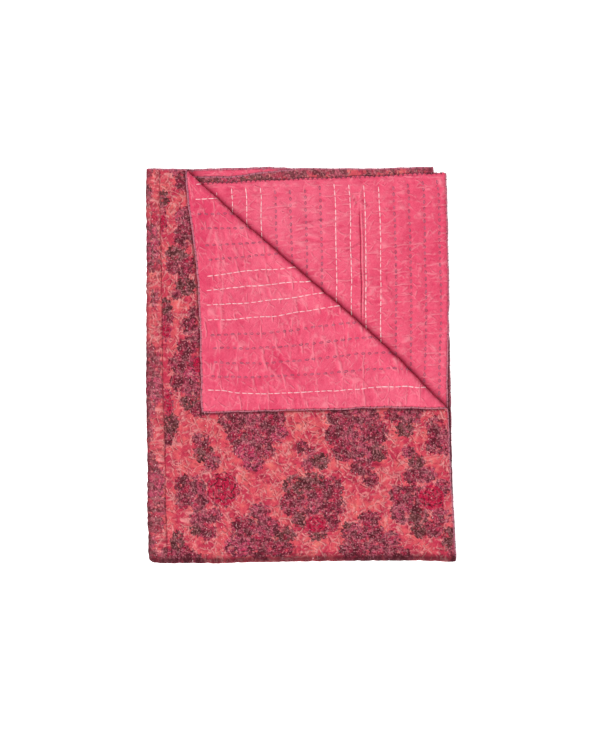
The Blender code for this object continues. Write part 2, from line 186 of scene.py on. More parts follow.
@dataclass(frozen=True)
class Folding:
    """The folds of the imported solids: a corner turned back, then the quilt halved at its side and bottom."""

    width: float = 0.4550
    height: float = 0.5930
    crown: float = 0.0013
    cloth_gap: float = 0.0003
    seam: float = 0.0255
    seam_drift: float = 0.008
    seam_drift_fade: float = 0.25
    layer_pitch: float = 0.0034
    crease_top: Pair = (0.0540, 0.5942)
    crease_side: Pair = (0.4552, 0.2245)
    corner_radii: Pair = (0.0020, 0.0042)
    corner_settle: float = 10.0
    corner_uneven: float = 0.13
    corner_bow_reach: float = 0.090
    swell: float = 0.11
    swell_reach: float = 0.020
    wave_swell: float = 0.035
    wave_lengths: Pair = (0.33, 0.41)
    fold_line_reach: float = 0.070
    fold_bumps: float = 0.0008
    fold_bump_reach: float = 0.006
    corner_pull: float = 0.0042
    corner_pull_reach: float = 0.007
    packet_middle: Pair = (0.23394, 0.29881)
    soft_waves: float = 0.040
    soft_wave_length: float = 0.050

    @property
    def side_radius(self) -> float:
        """Radius of the side fold."""
        return self.layer_pitch / 2

    @property
    def bottom_radius(self) -> float:
        """Radius of the bottom fold."""
        return self.layer_pitch

    def flat_width(self, reached: Array) -> Array:
        """Flat length for a distance from the side fold: reached - radius - crown + radius * pi / 2."""
        return reached - self.side_radius - self.crown + self.side_radius * math.pi / 2

    def flat_height(self, reached: Array) -> Array:
        """Flat length for a distance from the bottom fold, round the larger bend."""
        return reached - self.bottom_radius - self.side_radius - self.crown + self.bottom_radius * math.pi / 2

    def reach(self, table: Sequence[Sequence[float]], upper: Array, main: Array, share: Array) -> Array:
        """The reach of a layer's edge at a share of its length.

        Args:
            table: rows of share, top, second, third and bottom layer.
            upper: true on the two layers above the bottom fold.
            main: true on the two layers right of the side fold.
            share: share of the edge's length.

        Returns:
            The reach, read off the table in straight lines.
        """
        shares, top, second, third, bottom = np.array(table).T
        upper_half = np.where(main, np.interp(share, shares, top), np.interp(share, shares, second))
        lower_half = np.where(main, np.interp(share, shares, bottom), np.interp(share, shares, third))
        return np.where(upper, upper_half, lower_half)

    def flat_place(self, a: Array, b: Array) -> Tuple[Array, Array]:
        """Flat place (u, v) in metres: a and b stretched to each layer's own reach, with the seam's drift."""
        across, along = a / self.width, b / self.height
        upper, main = along > 0, across > 0
        width = self.flat_width(self.reach(SIDE_REACH, upper, main, np.abs(along)))
        height = self.flat_height(self.reach(TOP_REACH, upper, main, np.abs(across)))
        share = self.seam / self.width
        near = np.where(across < share, across / share, 1.0 - (across - share) / self.seam_drift_fade)
        drift = self.seam_drift * (0.5 - np.clip(along, 0.0, 1.0)) * np.clip(near, 0.0, 1.0)
        return across * width + drift, along * height

    def crease(self) -> Tuple[Array, Array, Array, float]:
        """The crease on the flat quilt: its start, direction, normal towards the corner, and length."""
        top = np.array([self.flat_width(self.crease_top[0]), self.flat_height(self.crease_top[1])])
        side = np.array([self.flat_width(self.crease_side[0]), self.flat_height(self.crease_side[1])])
        length = float(np.hypot(*(side - top)))
        along = (side - top) / length
        return top, along, np.array([-along[1], along[0]]), length

    def bow(self, u: Array, v: Array) -> Array:
        """How far the crease bows out beside a flat place, read off the table in straight lines."""
        point, along, _, length = self.crease()
        shares, bows = np.array(CORNER_BOW).T
        return np.interp(((u - point[0]) * along[0] + (v - point[1]) * along[1]) / length, shares, bows)

    def beyond(self, u: Array, v: Array) -> Tuple[Array, Array]:
        """Distance of a flat place beyond the bowed crease, and the bend's slightly uneven radius there."""
        point, along, normal, length = self.crease()
        past = (u - point[0]) * normal[0] + (v - point[1]) * normal[1] - self.bow(u, v)
        run = np.clip((u - point[0]) * along[0] + (v - point[1]) * along[1], 0.0, length)
        radius = self.corner_radii[0] + (self.corner_radii[1] - self.corner_radii[0]) * run / length
        return past, radius * (1.0 + self.corner_uneven * Noise(71).at(run / 0.017, run * 0.0 + 0.5))

    def turn_corner(self, u: Array, v: Array, w: Array) -> Tuple[Array, Array, Array]:
        """Rolls the cloth beyond the crease through half a turn and lays it back on the print.

        The crease bows out by a little, which the cloth laid back takes up again: - 2 * bow * smooth step.

        Args:
            u: flat place across.
            v: flat place along.
            w: height above the quilt's middle.

        Returns:
            The new u, v and height.
        """
        normal = self.crease()[2]
        past, radius = self.beyond(u, v)
        angle = np.clip(past / radius, 0.0, math.pi)
        back = np.maximum(past - radius * math.pi, 0.0)
        settled = (2.0 * radius - self.layer_pitch) * smooth_step(back / (self.corner_settle * radius))
        taken_up = 2.0 * self.bow(u, v) * smooth_step(back / self.corner_bow_reach)
        outward = np.minimum(past, 0.0) + (radius - w) * np.sin(angle) - back - taken_up
        height = radius - (radius - w) * np.cos(angle) - settled
        shift = outward - past
        return u + shift * normal[0], v + shift * normal[1], height

    @staticmethod
    def half_fold(run: Array, w: Array, radius: float) -> Tuple[Array, Array]:
        """Folds in half round a bend: straight, then an arc of the radius plus w, then straight back."""
        angle = np.clip(run / radius, -math.pi / 2, math.pi / 2)
        straight = np.maximum(np.abs(run) - radius * math.pi / 2, 0.0)
        return straight - (radius + w) * np.cos(angle), (radius + w) * np.sin(angle)

    def settle(self, x: Array, y: Array, z: Array) -> Tuple[Array, Array, Array]:
        """The packet's unevenness: fuller at the folds, drawn in along them, and softly wavy."""
        from_side = x + self.side_radius + self.crown
        from_bottom = y + self.bottom_radius + self.side_radius + self.crown
        nearest = np.minimum(from_side, from_bottom)
        swell = self.swell * bell(np.maximum(nearest, 0.0) / self.swell_reach)
        waves = np.sin(2 * math.pi * x / self.wave_lengths[0] + 0.6)
        waves = waves * np.sin(2 * math.pi * y / self.wave_lengths[1] + 1.1)
        soft = Noise(41).at(x / self.soft_wave_length, y / self.soft_wave_length)
        shares, side, bottom = np.array(FOLD_LINES).T
        side_in = np.interp(from_bottom / self.height, shares, side)
        bottom_in = np.interp(from_side / self.width, shares, bottom)
        pull = self.corner_pull * np.exp(-(from_side + from_bottom) / self.corner_pull_reach)
        side_bump = self.fold_bumps * Noise(73).at(y / 0.0075, y * 0.0 + 0.5)
        bottom_bump = 0.5 * self.fold_bumps * Noise(74).at(x / 0.0110, x * 0.0 + 0.5)
        near_side = np.exp(-np.maximum(from_side, 0.0) / self.fold_bump_reach)
        near_bottom = np.exp(-np.maximum(from_bottom, 0.0) / self.fold_bump_reach)
        side_in = side_in * smooth_step(1.0 - from_side / self.fold_line_reach)
        bottom_in = bottom_in * smooth_step(1.0 - from_bottom / self.fold_line_reach)
        return (
            x + pull + side_in + side_bump * near_side,
            y + pull + bottom_in + bottom_bump * near_bottom,
            z * (1.0 + swell + self.wave_swell * waves + self.soft_waves * soft),
        )

    def place(self, a: Array, b: Array, w: Array) -> Array:
        """The place in the finished packet of a point of the cloth.

        Args:
            a: distance across the quilt from the side fold.
            b: distance along the quilt from the bottom fold.
            w: height above the quilt's middle, towards the print.

        Returns:
            Places as an array whose last axis is x, y and z, none of them below the surface it rests on.
        """
        u, v = self.flat_place(a, b)
        u, v, w = self.turn_corner(u, v, w)
        x, w = self.half_fold(u, w, self.side_radius)
        y, z = self.half_fold(v, w, self.bottom_radius)
        x, y, z = self.settle(x, y, z + self.bottom_radius + self.side_radius + self.crown)
        x = x + self.side_radius + self.crown - self.packet_middle[0]
        y = y + self.bottom_radius + self.side_radius + self.crown - self.packet_middle[1]
        return np.stack([x, y, np.maximum(z, 0.0)], axis=-1)

    def inside(self, a: Array, b: Array) -> Array:
        """Distance from the nearest open edge of the quilt."""
        return np.minimum(self.width - np.abs(a), self.height - np.abs(b))

    def past_crease(self, a: Array, b: Array) -> Array:
        """Distance beyond the crease of a place on the cloth, also for the layer that lies under it."""
        u, v = self.flat_place(a, b)
        return self.beyond(np.abs(u), v)[0]

    def under_flap(self, a: Array, b: Array) -> Array:
        """How far inside the turned corner's outline, mirrored in the crease, a place of the top layer is."""
        u, v = self.flat_place(a, b)
        past, radius = self.beyond(u, v)
        normal = self.crease()[2]
        jump = 2.0 * np.minimum(past + self.bow(u, v), 0.0) - math.pi * radius
        u, v = u - jump * normal[0], v - jump * normal[1]
        side_u = self.flat_place(np.full(np.shape(u), self.width), np.clip(v, 0.0, self.height))[0]
        top_v = self.flat_place(np.clip(u, 0.0, self.width), np.full(np.shape(v), self.height))[1]
        return np.minimum(side_u - u, top_v - v)


@dataclass(frozen=True)
class StitchRows:
    """Rows of running stitches: straight by plan, but leaning and wandering as hand sewing does."""

    folding: Folding
    pitch: float = 0.0223
    first: Pair = (0.0315, 0.0130)
    count: Tuple[int, int] = (18, 20)
    strip: float = 0.011
    wander: float = 0.0013
    wander_length: float = 0.085
    # How far each main row leans away from the open edge: at the top edge, 100 mm down and 200 mm down
    lean_mm: Tuple[Tuple[float, ...], ...] = (
        (5.5, 4.6, 4.6, 4.6, 3.0, 4.6, 6.5, 8.0, 7.6, 10.8, 12.1, 18.0, 19.5, 21.5, 22.5, 16, 8, 0),
        (-4.0, 1.0, 0.0, 2.0, 3.3, 6.7, 8.0, 10.5, 12.5, 13.5, 12.0, 15.0, 16.0, 16.0, 15.0, 10, 5, 0),
        (-2.2, 1.5, 2.5, 3.7, 5.5, 10.0, 12.0, 11.0, 12.5, 12.0, 11.0, 12.0, 12.0, 11.0, 10.0, 6, 3, 0),
    )

    def drift(self, number: Array, b: Array, main: bool) -> Array:
        """How far a row lies from its straight line: lean * smooth step down from the top, plus noise."""
        wander = self.wander * Noise(7 if main else 8).at(b / self.wander_length, number / 3.1)
        wander = wander + 0.4 * self.wander * Noise(9).at(b / 0.022, number * 1.7)
        if not main:
            return wander - 0.002 * smooth_step((b - 0.560) / 0.03)
        leans = [np.interp(number, np.arange(len(row)), np.array(row) / 1000) for row in self.lean_mm]
        down = (self.folding.height - b) / 0.1
        upper = leans[0] + (leans[1] - leans[0]) * smooth_step(down)
        lean = upper + (leans[2] - leans[1]) * smooth_step(down - 1.0)
        return wander - lean * smooth_step((b - 0.18) / 0.20)

    def across(self, number: Array, b: Array, main: bool) -> Array:
        """The place across the quilt of a row at b: its straight line plus its drift."""
        first = self.first[0] if main else self.first[1]
        straight = self.folding.width - first - number * self.pitch
        return (straight + self.drift(number, b, main)) * (1.0 if main else -1.0)

    def to_row(self, a: Array, b: Array) -> Array:
        """Distance to the nearest row: its number is solved for in two steps, and its fraction measured."""
        found = np.full(np.shape(a), 1.0)
        for main in (True, False):
            side = np.abs(np.where((a > 0) == main, a, 0.0))
            first = self.first[0] if main else self.first[1]
            number = (self.folding.width - first - side) / self.pitch
            for _ in range(2):
                number = (self.folding.width - first + self.drift(number, b, main) - side) / self.pitch
            nearest = np.clip(np.round(number), 0, (self.count[0] if main else self.count[1]) - 1)
            found = np.where((a > 0) == main, np.abs(number - nearest) * self.pitch, found)
        strip = np.where(a > 0, np.abs(a - self.strip), 1.0)
        return np.minimum(found, strip)

    @staticmethod
    def yarn(number: int, main: bool) -> Yarn:
        """The thread of a row: four rows grey, four white, in turn."""
        group = (number + 3) // 4 if main else number // 4 + 1
        return Yarn.GREY if group % 2 == 1 else Yarn.WHITE


@dataclass(frozen=True)
class Crease:
    """One crease in the cloth, from start to end as (a, b), bowed to one side. Below 0 it is deep."""

    start: Pair
    end: Pair
    height: float
    half_width: float
    bow: float = 0.0
    wobble: float = 0.0012

    def relief(self, a: Array, b: Array) -> Array:
        """Height of the crease: height * bell(distance / half width), faded at both ends."""
        start, end = np.array(self.start), np.array(self.end)
        length = float(np.hypot(*(end - start)))
        along = (end - start) / length
        run = ((a - start[0]) * along[0] + (b - start[1]) * along[1]) / length
        off = -(a - start[0]) * along[1] + (b - start[1]) * along[0]
        off = off - self.bow * 4.0 * run * (1.0 - run) - self.wobble * np.sin(run * length / 0.011)
        fade = smooth_step((run + 0.04) / 0.2) * smooth_step((1.04 - run) / 0.2)
        return self.height * bell(off / self.half_width) * fade


# Creases on the second layer's pink triangle
SECOND_LAYER_CREASES = (
    Crease((-0.3225, 0.545), (-0.3235, 0.366), -0.0022, 0.0008, wobble=0.0003),
    Crease((-0.3250, 0.548), (-0.3262, 0.366), 0.0012, 0.0016, wobble=0.0004),
    Crease((-0.3205, 0.553), (-0.3260, 0.575), 0.0008, 0.0014, wobble=0.0004),
    Crease((-0.3190, 0.548), (-0.3080, 0.566), -0.0006, 0.0012),
    Crease((-0.3260, 0.556), (-0.3380, 0.545), -0.0006, 0.0012),
    Crease((-0.2310, 0.520), (-0.3190, 0.530), 0.0008, 0.0020, bow=0.003),
    Crease((-0.2320, 0.526), (-0.2700, 0.528), -0.0006, 0.0012),
    Crease((-0.3400, 0.490), (-0.4000, 0.482), 0.0005, 0.0018, bow=-0.002),
    Crease((-0.3000, 0.478), (-0.3220, 0.492), -0.0004, 0.0015),
    Crease((-0.3330, 0.430), (-0.3800, 0.410), 0.0005, 0.0020, bow=0.002),
    Crease((-0.3900, 0.560), (-0.4300, 0.545), 0.0005, 0.0018, bow=0.002),
    Crease((-0.3950, 0.395), (-0.4350, 0.360), 0.0005, 0.0020, bow=-0.003),
    Crease((-0.2000, 0.560), (-0.2200, 0.545), -0.0004, 0.0015),
    Crease((-0.3600, 0.450), (-0.3720, 0.400), -0.0004, 0.0014, bow=0.002),
    Crease((-0.4200, 0.470), (-0.4260, 0.420), 0.0004, 0.0018, bow=0.002),
)

# Creases on the print of the top layer
TOP_LAYER_CREASES = (
    Crease((0.030, 0.014), (0.452, 0.010), -0.0005, 0.0014),
    Crease((0.008, 0.010), (0.008, 0.585), 0.0003, 0.0016),
    Crease((0.095, 0.205), (0.160, 0.238), 0.0005, 0.0020, bow=0.003),
    Crease((0.225, 0.150), (0.275, 0.190), 0.0006, 0.0020, bow=-0.003),
    Crease((0.340, 0.115), (0.395, 0.135), 0.0005, 0.0018, bow=0.003),
    Crease((0.110, 0.060), (0.150, 0.100), 0.0005, 0.0018, bow=0.002),
    Crease((0.280, 0.055), (0.330, 0.070), 0.0005, 0.0018, bow=-0.002),
    Crease((0.400, 0.185), (0.440, 0.215), 0.0005, 0.0018, bow=0.002),
    Crease((0.030, 0.330), (0.080, 0.350), 0.0005, 0.0018, bow=0.002),
    Crease((0.030, 0.470), (0.075, 0.462), 0.0005, 0.0018, bow=-0.002),
)

# Creases on the turned corner, as places on the packet from its folds: start, end, height, half width, bow
CORNER_CREASES = (
    ((0.107, 0.505), (0.110, 0.400), 0.0010, 0.0022, 0.002),
    ((0.110, 0.400), (0.114, 0.250), 0.0009, 0.0022, -0.002),
    ((0.176, 0.300), (0.215, 0.250), 0.0010, 0.0022, 0.003),
    ((0.190, 0.318), (0.235, 0.262), -0.0009, 0.0020, 0.003),
    ((0.150, 0.262), (0.186, 0.246), 0.0007, 0.0020, 0.002),
    ((0.250, 0.330), (0.300, 0.300), 0.0009, 0.0022, -0.003),
    ((0.290, 0.275), (0.330, 0.262), 0.0009, 0.0020, 0.002),
    ((0.150, 0.420), (0.195, 0.402), 0.0007, 0.0020, 0.003),
    ((0.130, 0.470), (0.150, 0.440), 0.0007, 0.0018, 0.002),
    ((0.350, 0.255), (0.385, 0.258), 0.0007, 0.0020, 0.002),
)


@dataclass(frozen=True)
class Wrinkles:
    """A field of short soft wrinkles, as washing leaves them: many bowed strokes with their own size."""

    seed: int
    count: int
    low: Pair
    high: Pair
    directions: Tuple[float, ...]
    spread: float = 0.35
    lengths: Pair = (0.010, 0.034)
    half_widths: Pair = (0.0014, 0.0024)
    heights: Pair = (0.0003, 0.0008)

    def relief(self, a: Array, b: Array) -> Array:
        """Sum of the strokes: height * bell(distance / half width) * (1 - run^2)^2 along each."""
        made = np.random.default_rng(self.seed)
        total = np.zeros(np.broadcast(a, b).shape)
        for number in range(self.count):
            middle_a, middle_b = made.uniform(self.low, self.high)
            turn = self.directions[number % len(self.directions)] + made.normal(0.0, self.spread)
            half = made.uniform(*self.lengths) / 2
            width = made.uniform(*self.half_widths)
            height = made.uniform(*self.heights) * (1.0 if made.random() < 0.7 else -0.8)
            bow = made.normal(0.0, 0.10)
            near = (np.abs(a - middle_a) < half + 0.006) & (np.abs(b - middle_b) < half + 0.006)
            off_a, off_b = a[near] - middle_a, b[near] - middle_b
            run = (off_a * math.cos(turn) + off_b * math.sin(turn)) / half
            off = -off_a * math.sin(turn) + off_b * math.cos(turn) - bow * half * (1.0 - run * run)
            total[near] += height * bell(off / width) * np.clip(1.0 - run * run, 0.0, 1.0) ** 2
        return total


# Wrinkles of the top layer's print, of the second layer's triangle and of the turned corner
TOP_LAYER_WRINKLES = (
    Wrinkles(3, 620, (0.026, 0.005), (0.455, 0.30), (0.1, 0.9, 1.9, 2.6)),
    Wrinkles(4, 240, (0.026, 0.28), (0.13, 0.59), (0.0, 0.2, 1.6)),
    Wrinkles(5, 150, (0.001, 0.005), (0.026, 0.59), (0.0,), 0.18, (0.012, 0.024)),
)
SECOND_LAYER_WRINKLES = (
    Wrinkles(6, 460, (-0.452, 0.22), (-0.07, 0.590), (0.1, 0.0, 0.9, 2.4, 1.5), heights=(0.0002, 0.0006)),
)
CORNER_WRINKLES = (
    Wrinkles(7, 460, (0.08, 0.20), (0.452, 0.590), (0.9, 0.7, 1.6, 0.0, 2.4), heights=(0.0002, 0.0006)),
)


@dataclass(frozen=True)
class Relief:
    """How high each face of the quilt stands: drawn in at the rows, puckered across them, and crinkled."""

    folding: Folding
    rows: StitchRows
    row_dip: float = 0.0007
    row_reach: float = 0.0034
    # Puckers, ridges along them, crinkles and fine crinkles of the print and of the backing
    print_relief: Tuple[float, float, float, float] = (0.00045, 0.00060, 0.00055, 0.00035)
    backing_relief: Tuple[float, float, float, float] = (0.00040, 0.00095, 0.00035, 0.00022)
    strip_pucker: float = 0.00055
    lowest: float = 0.00035
    hidden_share: float = 0.30
    # Where the painted contact shadow lies beside the turned corner's hem, and how wide it is
    flap_shadow_off: float = 0.0014
    flap_shadow_reach: float = 0.0019

    def shown(self, a: Array, b: Array, face: Face) -> Array:
        """1 where a face of the cloth lies open to view, 0 where another layer covers it, smooth between."""
        past = self.folding.past_crease(a, b)
        top = (a > 0) & (b > 0)
        second = (a <= 0) & (b > 0)
        if face is Face.PRINT:
            bare = smooth_step(-self.folding.under_flap(a, b) / 0.004 + 0.5)
            return np.where(top, bare * smooth_step(-past / 0.003 + 0.5), 0.0)
        turned = smooth_step(past / 0.004 + 0.5)
        return np.where(top | second, turned, 0.0)

    def creases(self, a: Array, b: Array, face: Face) -> Array:
        """Sum of the listed creases on one face."""
        total = np.zeros(np.shape(a))
        listed: List[Crease] = list(TOP_LAYER_CREASES if face is Face.PRINT else SECOND_LAYER_CREASES)
        if face is Face.BACK:
            listed += [self.corner_crease(*row) for row in CORNER_CREASES]
        for crease in listed:
            total = total + crease.relief(a, b)
        fields = TOP_LAYER_WRINKLES if face is Face.PRINT else SECOND_LAYER_WRINKLES + CORNER_WRINKLES
        for strokes in fields:
            total = total + strokes.relief(a, b)
        return total

    def raised(self, a: Array, b: Array, height: Array) -> Array:
        """How far a height stands above the cloth that the rows alone would draw in, in millimetres."""
        row = bell(self.rows.to_row(a, b) / self.row_reach)
        return 1000 * np.clip(height - self.folding.crown + self.row_dip * row, -0.002, 0.002)

    def flap_shadow_line(self, a: Array, b: Array) -> Array:
        """1 along the line where the turned corner's hem rests on the print, where a contact shadow is
        painted, 0 beside.
        """
        return bell((self.folding.under_flap(a, b) + self.flap_shadow_off) / self.flap_shadow_reach)

    def deep_lines(self, a: Array, b: Array, face: Face) -> Array:
        """1 along the bottoms of the listed creases, where shade is painted, 0 beside them."""
        listed = TOP_LAYER_CREASES if face is Face.PRINT else SECOND_LAYER_CREASES
        total = np.zeros(np.shape(a))
        for crease in listed:
            if crease.height < 0:
                sharp = replace(crease, height=1.0, half_width=0.8 * crease.half_width)
                total = np.maximum(total, sharp.relief(a, b) * min(1.0, -crease.height / 0.0012))
        return total * self.shown(a, b, face)

    def corner_crease(self, start: Pair, end: Pair, height: float, half_width: float, bow: float) -> Crease:
        """A crease of the turned corner, carried from the packet to the flat cloth by mirroring it.

        Args:
            start: where it starts, from the packet's folds.
            end: where it ends.
            height: its height.
            half_width: its half width.
            bow: how far it bows out.

        Returns:
            The crease on the flat cloth.
        """
        normal = self.folding.crease()[2]
        places = []
        for x, y in (start, end):
            u, v = self.folding.flat_width(x), self.folding.flat_height(y)
            past, radius = self.folding.beyond(np.array(u), np.array(v))
            jump = float(math.pi * radius - 2.0 * (past + self.folding.bow(np.array(u), np.array(v))))
            places.append((u + jump * normal[0], v + jump * normal[1]))
        return Crease(places[0], places[1], height, half_width, bow=bow)

    def face(self, a: Array, b: Array, face: Face) -> Array:
        """Height of a face above the quilt's middle, always positive.

        crown - dip * bell(distance to row) + puckers and ridges long across the rows + crinkles, each less
        where a layer covers the face, near the folds, and on the underside, which lies flat.

        Args:
            a: places across the quilt.
            b: places along it.
            face: which face.

        Returns:
            The heights in metres.
        """
        fold, seed = self.folding, 0 if face is Face.PRINT else 20
        row = bell(self.rows.to_row(a, b) / self.row_reach)
        bent_a = a + 0.0045 * Noise(seed + 1).at(a / 0.028, b / 0.028)
        bent_b = b + 0.0045 * Noise(seed + 2).at(a / 0.028, b / 0.028)
        uneven = 0.65 + 0.5 * Noise(seed + 3).at(a / 0.07, b / 0.07)
        pucker, ridge, crinkle, fine = self.print_relief if face is Face.PRINT else self.backing_relief
        relief = pucker * Noise(seed + 4).at(bent_a / 0.019, bent_b / 0.0066)
        across_rows = Noise(seed + 7).ridged(bent_a / 0.030, bent_b / 0.0085) - 0.3
        relief = relief + ridge * across_rows * np.clip(0.6 + Noise(seed + 8).at(a / 0.04, b / 0.04), 0, 1.4)
        relief = relief + crinkle * uneven * (Noise(seed + 5).ridged(bent_a / 0.017, bent_b / 0.013) - 0.3)
        relief = relief + fine * (Noise(seed + 6).ridged(bent_a / 0.0085, bent_b / 0.0075) - 0.3)
        open_share = self.shown(a, b, face)
        calm = 0.5 + 0.5 * smooth_step((np.abs(a) - 0.003) / 0.008) * smooth_step((np.abs(b) - 0.006) / 0.010)
        amount = (self.hidden_share + (1.0 - self.hidden_share) * open_share) * calm
        beat = np.cos(2 * math.pi * b / RunningStitches.pitch + 2.2 * Noise(77).at(a / 0.02, b / 0.03))
        in_strip = smooth_step((fold.seam - a) / 0.002) * smooth_step((a + 0.002) / 0.003)
        height = fold.crown - self.row_dip * row + (relief + self.strip_pucker * beat * in_strip) * amount
        height = height + self.creases(a, b, face) * open_share
        if face is Face.PRINT:
            seam = bell(np.abs(a - fold.seam) / 0.0016) * (a > 0)
            height = height - 0.0005 * seam
            bend_a, bend_b = fold.side_radius * math.pi / 2, fold.bottom_radius * math.pi / 2
            pressed = (a > bend_a - 1e-6) & (b < -bend_b + 1e-6)
            height = np.where(pressed, fold.crown - 0.00025 * row, height)
        limit = fold.crown + 0.00030 + 0.0016 * open_share
        return np.clip(height, self.lowest, limit)


@dataclass
class Piece:
    """A mesh in the making: its points, faces and what is kept on them."""

    name: str
    points: Array
    quads: Array
    tris: Array
    uv_maps: Dict[str, Array] = field(default_factory=dict)
    values: Dict[str, Array] = field(default_factory=dict)

    def build(self, material: bpy.types.Material) -> bpy.types.Object:
        """Puts the arrays into a Blender mesh.

        Args:
            material: its one material.

        Returns:
            The object, at the origin.
        """
        mesh = bpy.data.meshes.new(self.name)
        corners = np.concatenate([self.quads.ravel(), self.tris.ravel()]).astype(np.int32)
        quad_starts = np.arange(len(self.quads)) * 4
        tri_starts = len(self.quads) * 4 + np.arange(len(self.tris)) * 3
        mesh.vertices.add(len(self.points))
        mesh.vertices.foreach_set("co", self.points.astype(np.float32).ravel())
        mesh.loops.add(len(corners))
        mesh.loops.foreach_set("vertex_index", corners)
        mesh.polygons.add(len(self.quads) + len(self.tris))
        mesh.polygons.foreach_set("loop_start", np.concatenate([quad_starts, tri_starts]).astype(np.int32))
        mesh.update(calc_edges=True)
        mesh.validate()
        mesh.shade_smooth()
        for name, values in self.uv_maps.items():
            layer = mesh.uv_layers.new(name=name)
            layer.data.foreach_set("uv", values.astype(np.float32).ravel())
        for name, values in self.values.items():
            attribute = mesh.attributes.new(name, "FLOAT", "POINT")
            attribute.data.foreach_set("value", values.astype(np.float32).ravel())
        made = bpy.data.objects.new(self.name, mesh)
        bpy.context.scene.collection.objects.link(made)
        made.data.materials.append(material)
        return made


@dataclass(frozen=True)
class EdgeSewing:
    """Whip stitches over the open edges, and how they draw the hem in."""

    folding: Folding
    pitch: float = 0.0102
    close_pitch: float = 0.0072
    pull: float = 0.00045
    close_pull: float = 0.0024
    pull_reach: float = 0.003
    wave: float = 0.0010

    def pitch_at(self, a: Array, b: Array) -> Array:
        """Stitch spacing, which is closer on the second layer's top edge."""
        return np.where((a < 0) & (b > 0), self.close_pitch, self.pitch)

    def drawn_in(self, a: Array, b: Array) -> Tuple[Array, Array]:
        """The cloth's place with each open edge scalloped: pull * (1 + cos(turns)) / 2 * exp(-distance)."""
        fold = self.folding
        pull = np.where((a < 0) & (b > 0), self.close_pull, self.pull)
        from_side, from_top = fold.width - np.abs(a), fold.height - np.abs(b)
        side = 0.5 + 0.5 * np.cos(2 * math.pi * b / self.pitch)
        top = 0.5 + 0.5 * np.cos(2 * math.pi * a / self.pitch_at(a, b))
        wave_a = self.wave * Noise(61).at(b / 0.016, np.sign(a) + 0.2 * np.sign(b) + 0.5)
        wave_b = self.wave * Noise(62).at(a / 0.016, np.sign(b) + 0.2 * np.sign(a) + 0.5)
        in_a = (self.pull * side + wave_a) * np.exp(-np.maximum(from_side, 0.0) / self.pull_reach)
        in_b = (pull * top + wave_b) * np.exp(-np.maximum(from_top, 0.0) / self.pull_reach)
        return a - np.sign(a) * in_a, b - np.sign(b) * in_b


# The bake map: start and size across of the dense and of the plain face, start and size along of both,
# and the places across of the rim's outer and inner side
BAKE_DENSE, BAKE_PLAIN, BAKE_ALONG = (0.005, 0.875), (0.910, 0.085), (0.005, 0.99)
BAKE_RIM = (0.885, 0.905)


